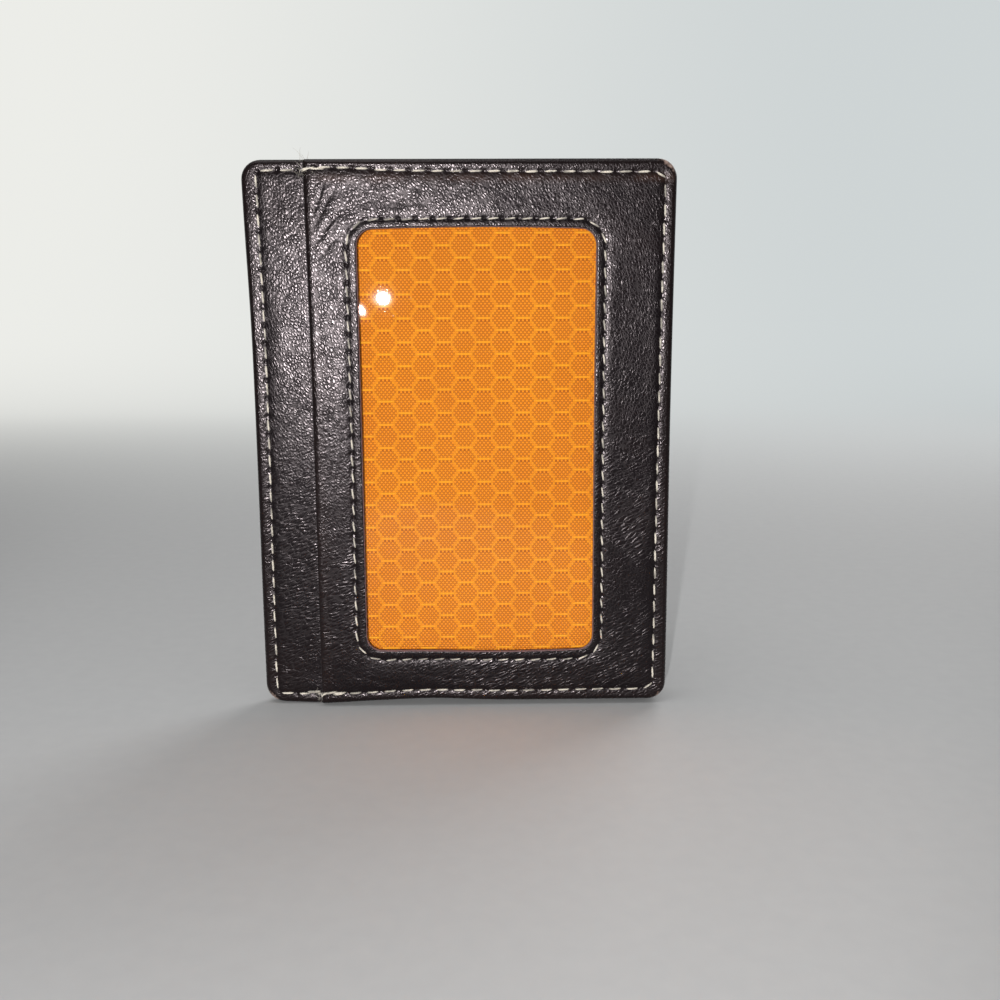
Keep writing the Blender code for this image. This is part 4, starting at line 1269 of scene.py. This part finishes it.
def make_floor():
    """Floor and backdrop: one profile, level and then turned up by a quarter round, carried along X."""
    radius, depth, height, front, half_width = 0.35, 0.55, 1.6, -1.6, 1.8
    columns, turn = 5, quarter(24)
    y = np.concatenate([[front], depth + radius * np.sin(turn), [depth + radius]])
    z = np.concatenate([[0.0], radius * (1 - np.cos(turn)), [height]])
    x = np.linspace(-half_width, half_width, columns)
    grid = vectors(*np.broadcast_arrays(x[None, :], y[:, None], z[:, None]))
    index = np.arange(len(y) * columns).reshape(-1, columns)
    faces = vectors(index[:-1, :-1], index[:-1, 1:], index[1:, 1:], index[1:, :-1])
    mesh = bpy.data.meshes.new("studio_floor")
    mesh.from_pydata(grid.reshape(-1, 3).tolist(), [], faces.reshape(-1, 4).tolist())
    mesh.shade_smooth()
    mesh.materials.append(paper_finish())
    add_object("studio_floor", mesh)


def paper_finish():
    """Pale paper. What the camera sees of it far behind glows, with painted shade that darkens it a little
    towards +X.
    """
    n = Finish("studio_paper")
    place = n.split(n.place)
    n.set("Base Color", n.mix_colour(n.noise(n.place, 300.0, 2.0), (0.54, 0.54, 0.54), (0.58, 0.58, 0.575)))
    n.set("Roughness", 0.9)
    rays = n.tree.nodes.new("ShaderNodeLightPath").outputs
    seen = n.math("MAXIMUM", rays["Is Camera Ray"], rays["Is Glossy Ray"])
    seen = n.math("MAXIMUM", seen, rays["Is Transmission Ray"])
    # Painted shade: the glow is a little darker towards +X, as if the light fell off.
    shaded_glow = n.mix_colour(n.ramp(place["X"], -0.45, 0.40), (0.84, 0.845, 0.81), (0.62, 0.66, 0.665))
    glow = n.add("ShaderNodeEmission", {"Color": shaded_glow, "Strength": 1.0})
    n.cover(n.times(seen, n.ramp(place["Y"], 0.10, 0.75)), glow)
    return n.material


def make_world(strength):
    """Even pale light from all round."""
    world = bpy.data.worlds.new("studio")
    bpy.context.scene.world = world
    world.use_nodes = True
    soft = world.node_tree.nodes["Background"]
    soft.inputs["Color"].default_value = (0.96, 0.98, 1.0, 1.0)
    soft.inputs["Strength"].default_value = strength


def add_lamp(name, kind, place, target, energy, **settings):
    """A lamp that faces a point."""
    lamp = bpy.data.lights.new(name, kind)
    lamp.energy = energy
    for key, value in settings.items():
        setattr(lamp, key, value)
    holder = add_object(name, lamp)
    holder.location = place
    holder.rotation_euler = (Vector(target) - Vector(place)).to_track_quat("-Z", "Y").to_euler()


def add_camera():
    """The camera, at the photographed distance, height and tilt from the upright wallet."""
    pitch, yaw, roll = math.radians(10.43), math.radians(0.96), math.radians(-0.27)
    sensor, widths_away = 36.0, 1.07
    forward = Vector((math.sin(yaw) * math.cos(pitch), math.cos(yaw) * math.cos(pitch), -math.sin(pitch)))
    right = forward.cross(Vector((0.0, 0.0, 1.0))).normalized()
    right = right * math.cos(roll) + right.cross(forward) * math.sin(roll)
    data = bpy.data.cameras.new("camera")
    data.sensor_width = sensor
    data.lens = sensor * widths_away
    data.clip_start = 0.01
    camera = add_object("camera", data)
    turn = Matrix((right, right.cross(forward), -forward)).transposed().to_4x4()
    place = Vector((0.0034, FRONT_Y - 0.2002, 0.07745)) + forward * 0.0022
    camera.matrix_world = Matrix.Translation(place) @ turn
    bpy.context.scene.camera = camera


# Operators


class WALLET_OT_stage(Operator):
    """Makes the floor, backdrop, lamps, world and camera"""

    bl_idname = "wallet.stage"
    bl_label = "Stage"

    def execute(self, context):
        stage = context.scene.wallet_stage
        make_floor()
        make_world(stage.sky)
        aim, window_middle = (0.0, 0.0, 0.05), (-0.004, 0.0, 0.056)
        add_lamp(
            "small_lamp", "SPOT", (-0.0508, -0.4035, 0.0801), window_middle, stage.flash,
            shadow_soft_size=0.0028, spot_size=math.radians(44.0), spot_blend=0.6,
        )
        add_lamp("top_lamp", "AREA", (-0.15, -0.10, 0.90), aim, stage.key, size=0.60)
        add_lamp("rear_lamp", "AREA", (0.35, 0.50, 0.45), aim, stage.fill, size=0.40)
        add_camera()
        context.scene.view_settings.view_transform = "Standard"
        return {"FINISHED"}


class WALLET_OT_finishes(Operator):
    """Makes the finishes and the node groups that they share"""

    bl_idname = "wallet.finishes"
    bl_label = "Finishes"

    def execute(self, context):
        groups = make_grain_group, make_rub_group, make_weave_group, make_hexagon_group, make_twist_group
        for make in groups:
            make()
        for make in (leather_finish, ripstop_finish, lining_finish, thread_finish, board_finish):
            make(context.scene.wallet_finish)
        clear_finish()
        return {"FINISHED"}


class WALLET_OT_window_panel(Operator):
    """Makes the leather round the ID window"""

    bl_idname = "wallet.window_panel"
    bl_label = "Window Leather"

    def execute(self, context):
        make_window_panel()
        return {"FINISHED"}


class WALLET_OT_strips(Operator):
    """Makes the leather strips at the mouths"""

    bl_idname = "wallet.strips"
    bl_label = "Leather Strips"

    def execute(self, context):
        slot_fold, front_tuck, tuck = 0.9 * MM, 5.2 * MM, 5.6 * MM
        back = BACK, BACK_SEAM_Y
        strips = (
            ("front_strip", "", MOUTH_SIDE, ID_MOUTH, STRIP_Y, FRONT, FRONT_SEAM_Y, 0.0, front_tuck),
            ("back_strip", "", MOUTH_SIDE, FIRST_MOUTH, BACK_WALL_Y, *back, 0.0, tuck),
            ("first_slot", "_strip", FIRST_MOUTH, SECOND_MOUTH, FIRST_Y, *back, slot_fold, tuck),
            ("second_slot", "_strip", SECOND_MOUTH, THIRD_MOUTH, SECOND_Y, *back, slot_fold, tuck),
        )
        for seed, (name, ending, x0, x1, *rest) in enumerate(strips, 5):
            strip_leather(f"{name}_leather", name + ending, x0, x1 - LAYER_GAP, *rest, seed)
        return {"FINISHED"}


class WALLET_OT_back_panel(Operator):
    """Makes the leather of the outermost card slot"""

    bl_idname = "wallet.back_panel"
    bl_label = "Back Leather"

    def execute(self, context):
        make_back_panel()
        return {"FINISHED"}


class WALLET_OT_clear_sheet(Operator):
    """Makes the clear sheet behind the window"""

    bl_idname = "wallet.clear_sheet"
    bl_label = "Clear Sheet"

    def execute(self, context):
        make_clear_sheet()
        return {"FINISHED"}


class WALLET_OT_linings(Operator):
    """Makes the ripstop and the linings inside the pockets"""

    bl_idname = "wallet.linings"
    bl_label = "Linings"

    def execute(self, context):
        cloths = (
            ("id_pocket", RIPSTOP_LOOK, (90, 120), "front_board"),
            ("front_compartment", RIPSTOP_LOOK, (60, 80), "front_board"),
            ("back_compartment", RIPSTOP_LOOK, (60, 80), "back_board"),
            ("back_wall", LINING_LOOK, (60, 80), "back_board"),
            ("first_slot", LINING_LOOK, (60, 80), "back_wall_cloth"),
            ("second_slot", LINING_LOOK, (60, 80), "back_wall_cloth"),
        )
        for seed, (pocket, look, counts, rests_on) in enumerate(cloths, 61):
            make_cloth(f"{pocket}_cloth", f"{pocket}_lining", look, counts, seed)
        return {"FINISHED"}


class WALLET_OT_boards(Operator):
    """Gives the boards inside the walls their finish"""

    bl_idname = "wallet.boards"
    bl_label = "Boards"

    def execute(self, context):
        for node in ("front_board", "back_board"):
            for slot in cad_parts[node].material_slots:
                slot.material = bpy.data.materials["pressed_board"]
        return {"FINISHED"}


class WALLET_OT_stitching(Operator):
    """Makes every seam's stitches"""

    bl_idname = "wallet.stitching"
    bl_label = "Stitching"

    def execute(self, context):
        shape = context.scene.wallet_shape
        window, front, back = window_seam(), outer_seam(FRONT), outer_seam(BACK)
        for name, seam, facing, levels, width, seed in (
            ("window", window, FRONT, ((0.0,), (FRONT_Y,)), shape.thread * 0.9, 71),
            ("front", front, FRONT, face_level(FRONT), shape.thread, 72),
            ("back", back, BACK, face_level(BACK), shape.thread, 73),
        ):
            make_stitching(name, seam.starts, seam.ends, facing, levels, width, seed)
        half = (PITCH - shape.stitch_gap) / 2
        for name, seed in (("first_slot_floor", 74), ("second_slot_floor", 75)):
            low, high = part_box(f"{name}_stitching")
            z = np.arange(low[2], high[2], PITCH)
            x = np.full_like(z, (low[0] + high[0]) / 2)
            starts, ends = vectors(x, z + half * 0.2), vectors(x, z + half * 2.2)
            levels = ((0.0,), (low[1] + 0.05 * MM,))
            make_stitching(name, starts, ends, BACK, levels, shape.thread * 0.8, seed, lift=0.1 * MM)
        return {"FINISHED"}


class WALLET_OT_backtacks(Operator):
    """Makes the doubled stitches at both ends of the ID mouth"""

    bl_idname = "wallet.backtacks"
    bl_label = "Backtacks"

    def execute(self, context):
        low, high = SEAM[2:]
        make_backtack("lower", low, (-1.9, 1.5, 3.3), 1.0, 0.5 * MM, 81)
        strays = ((-0.7, -0.10, 1.9), (-0.3, 0.10, 2.4), (0.1, 0.0, 1.8), (0.4, 0.25, 2.3))
        make_backtack("upper", high, (0.6, 2.4), -1.0, 0.32 * MM, 82, strays)
        return {"FINISHED"}


class WALLET_PT_sidebar(Panel):
    """Lists the wallet's pieces in the sidebar"""

    bl_idname = "WALLET_PT_sidebar"
    bl_label = "Front Pocket Wallet"
    bl_space_type = "VIEW_3D"
    bl_region_type = "UI"
    bl_category = "Wallet"

    def draw(self, context):
        scene = context.scene
        for group in (scene.wallet_shape, scene.wallet_finish, scene.wallet_stage):
            box = self.layout.box()
            for name in group.__annotations__:
                box.prop(group, name)
        for operator in OPERATORS:
            self.layout.operator(operator.bl_idname)


OPERATORS = (
    WALLET_OT_stage,
    WALLET_OT_finishes,
    WALLET_OT_window_panel,
    WALLET_OT_strips,
    WALLET_OT_back_panel,
    WALLET_OT_clear_sheet,
    WALLET_OT_linings,
    WALLET_OT_boards,
    WALLET_OT_stitching,
    WALLET_OT_backtacks,
)
CLASSES = (WalletShape, WalletFinish, WalletStage, *OPERATORS, WALLET_PT_sidebar)


def register():
    for item in CLASSES:
        bpy.utils.register_class(item)
    bpy.types.Scene.wallet_shape = PointerProperty(type=WalletShape)
    bpy.types.Scene.wallet_finish = PointerProperty(type=WalletFinish)
    bpy.types.Scene.wallet_stage = PointerProperty(type=WalletStage)


def unregister():
    del bpy.types.Scene.wallet_stage
    del bpy.types.Scene.wallet_finish
    del bpy.types.Scene.wallet_shape
    for item in reversed(CLASSES):
        bpy.utils.unregister_class(item)


def main():
    register()
    bpy.ops.wallet.stage()
    bpy.ops.wallet.finishes()
    bpy.ops.wallet.window_panel()
    bpy.ops.wallet.strips()
    bpy.ops.wallet.back_panel()
    bpy.ops.wallet.clear_sheet()
    bpy.ops.wallet.linings()
    bpy.ops.wallet.boards()
    bpy.ops.wallet.stitching()
    bpy.ops.wallet.backtacks()


if __name__ == "__main__":
    main()
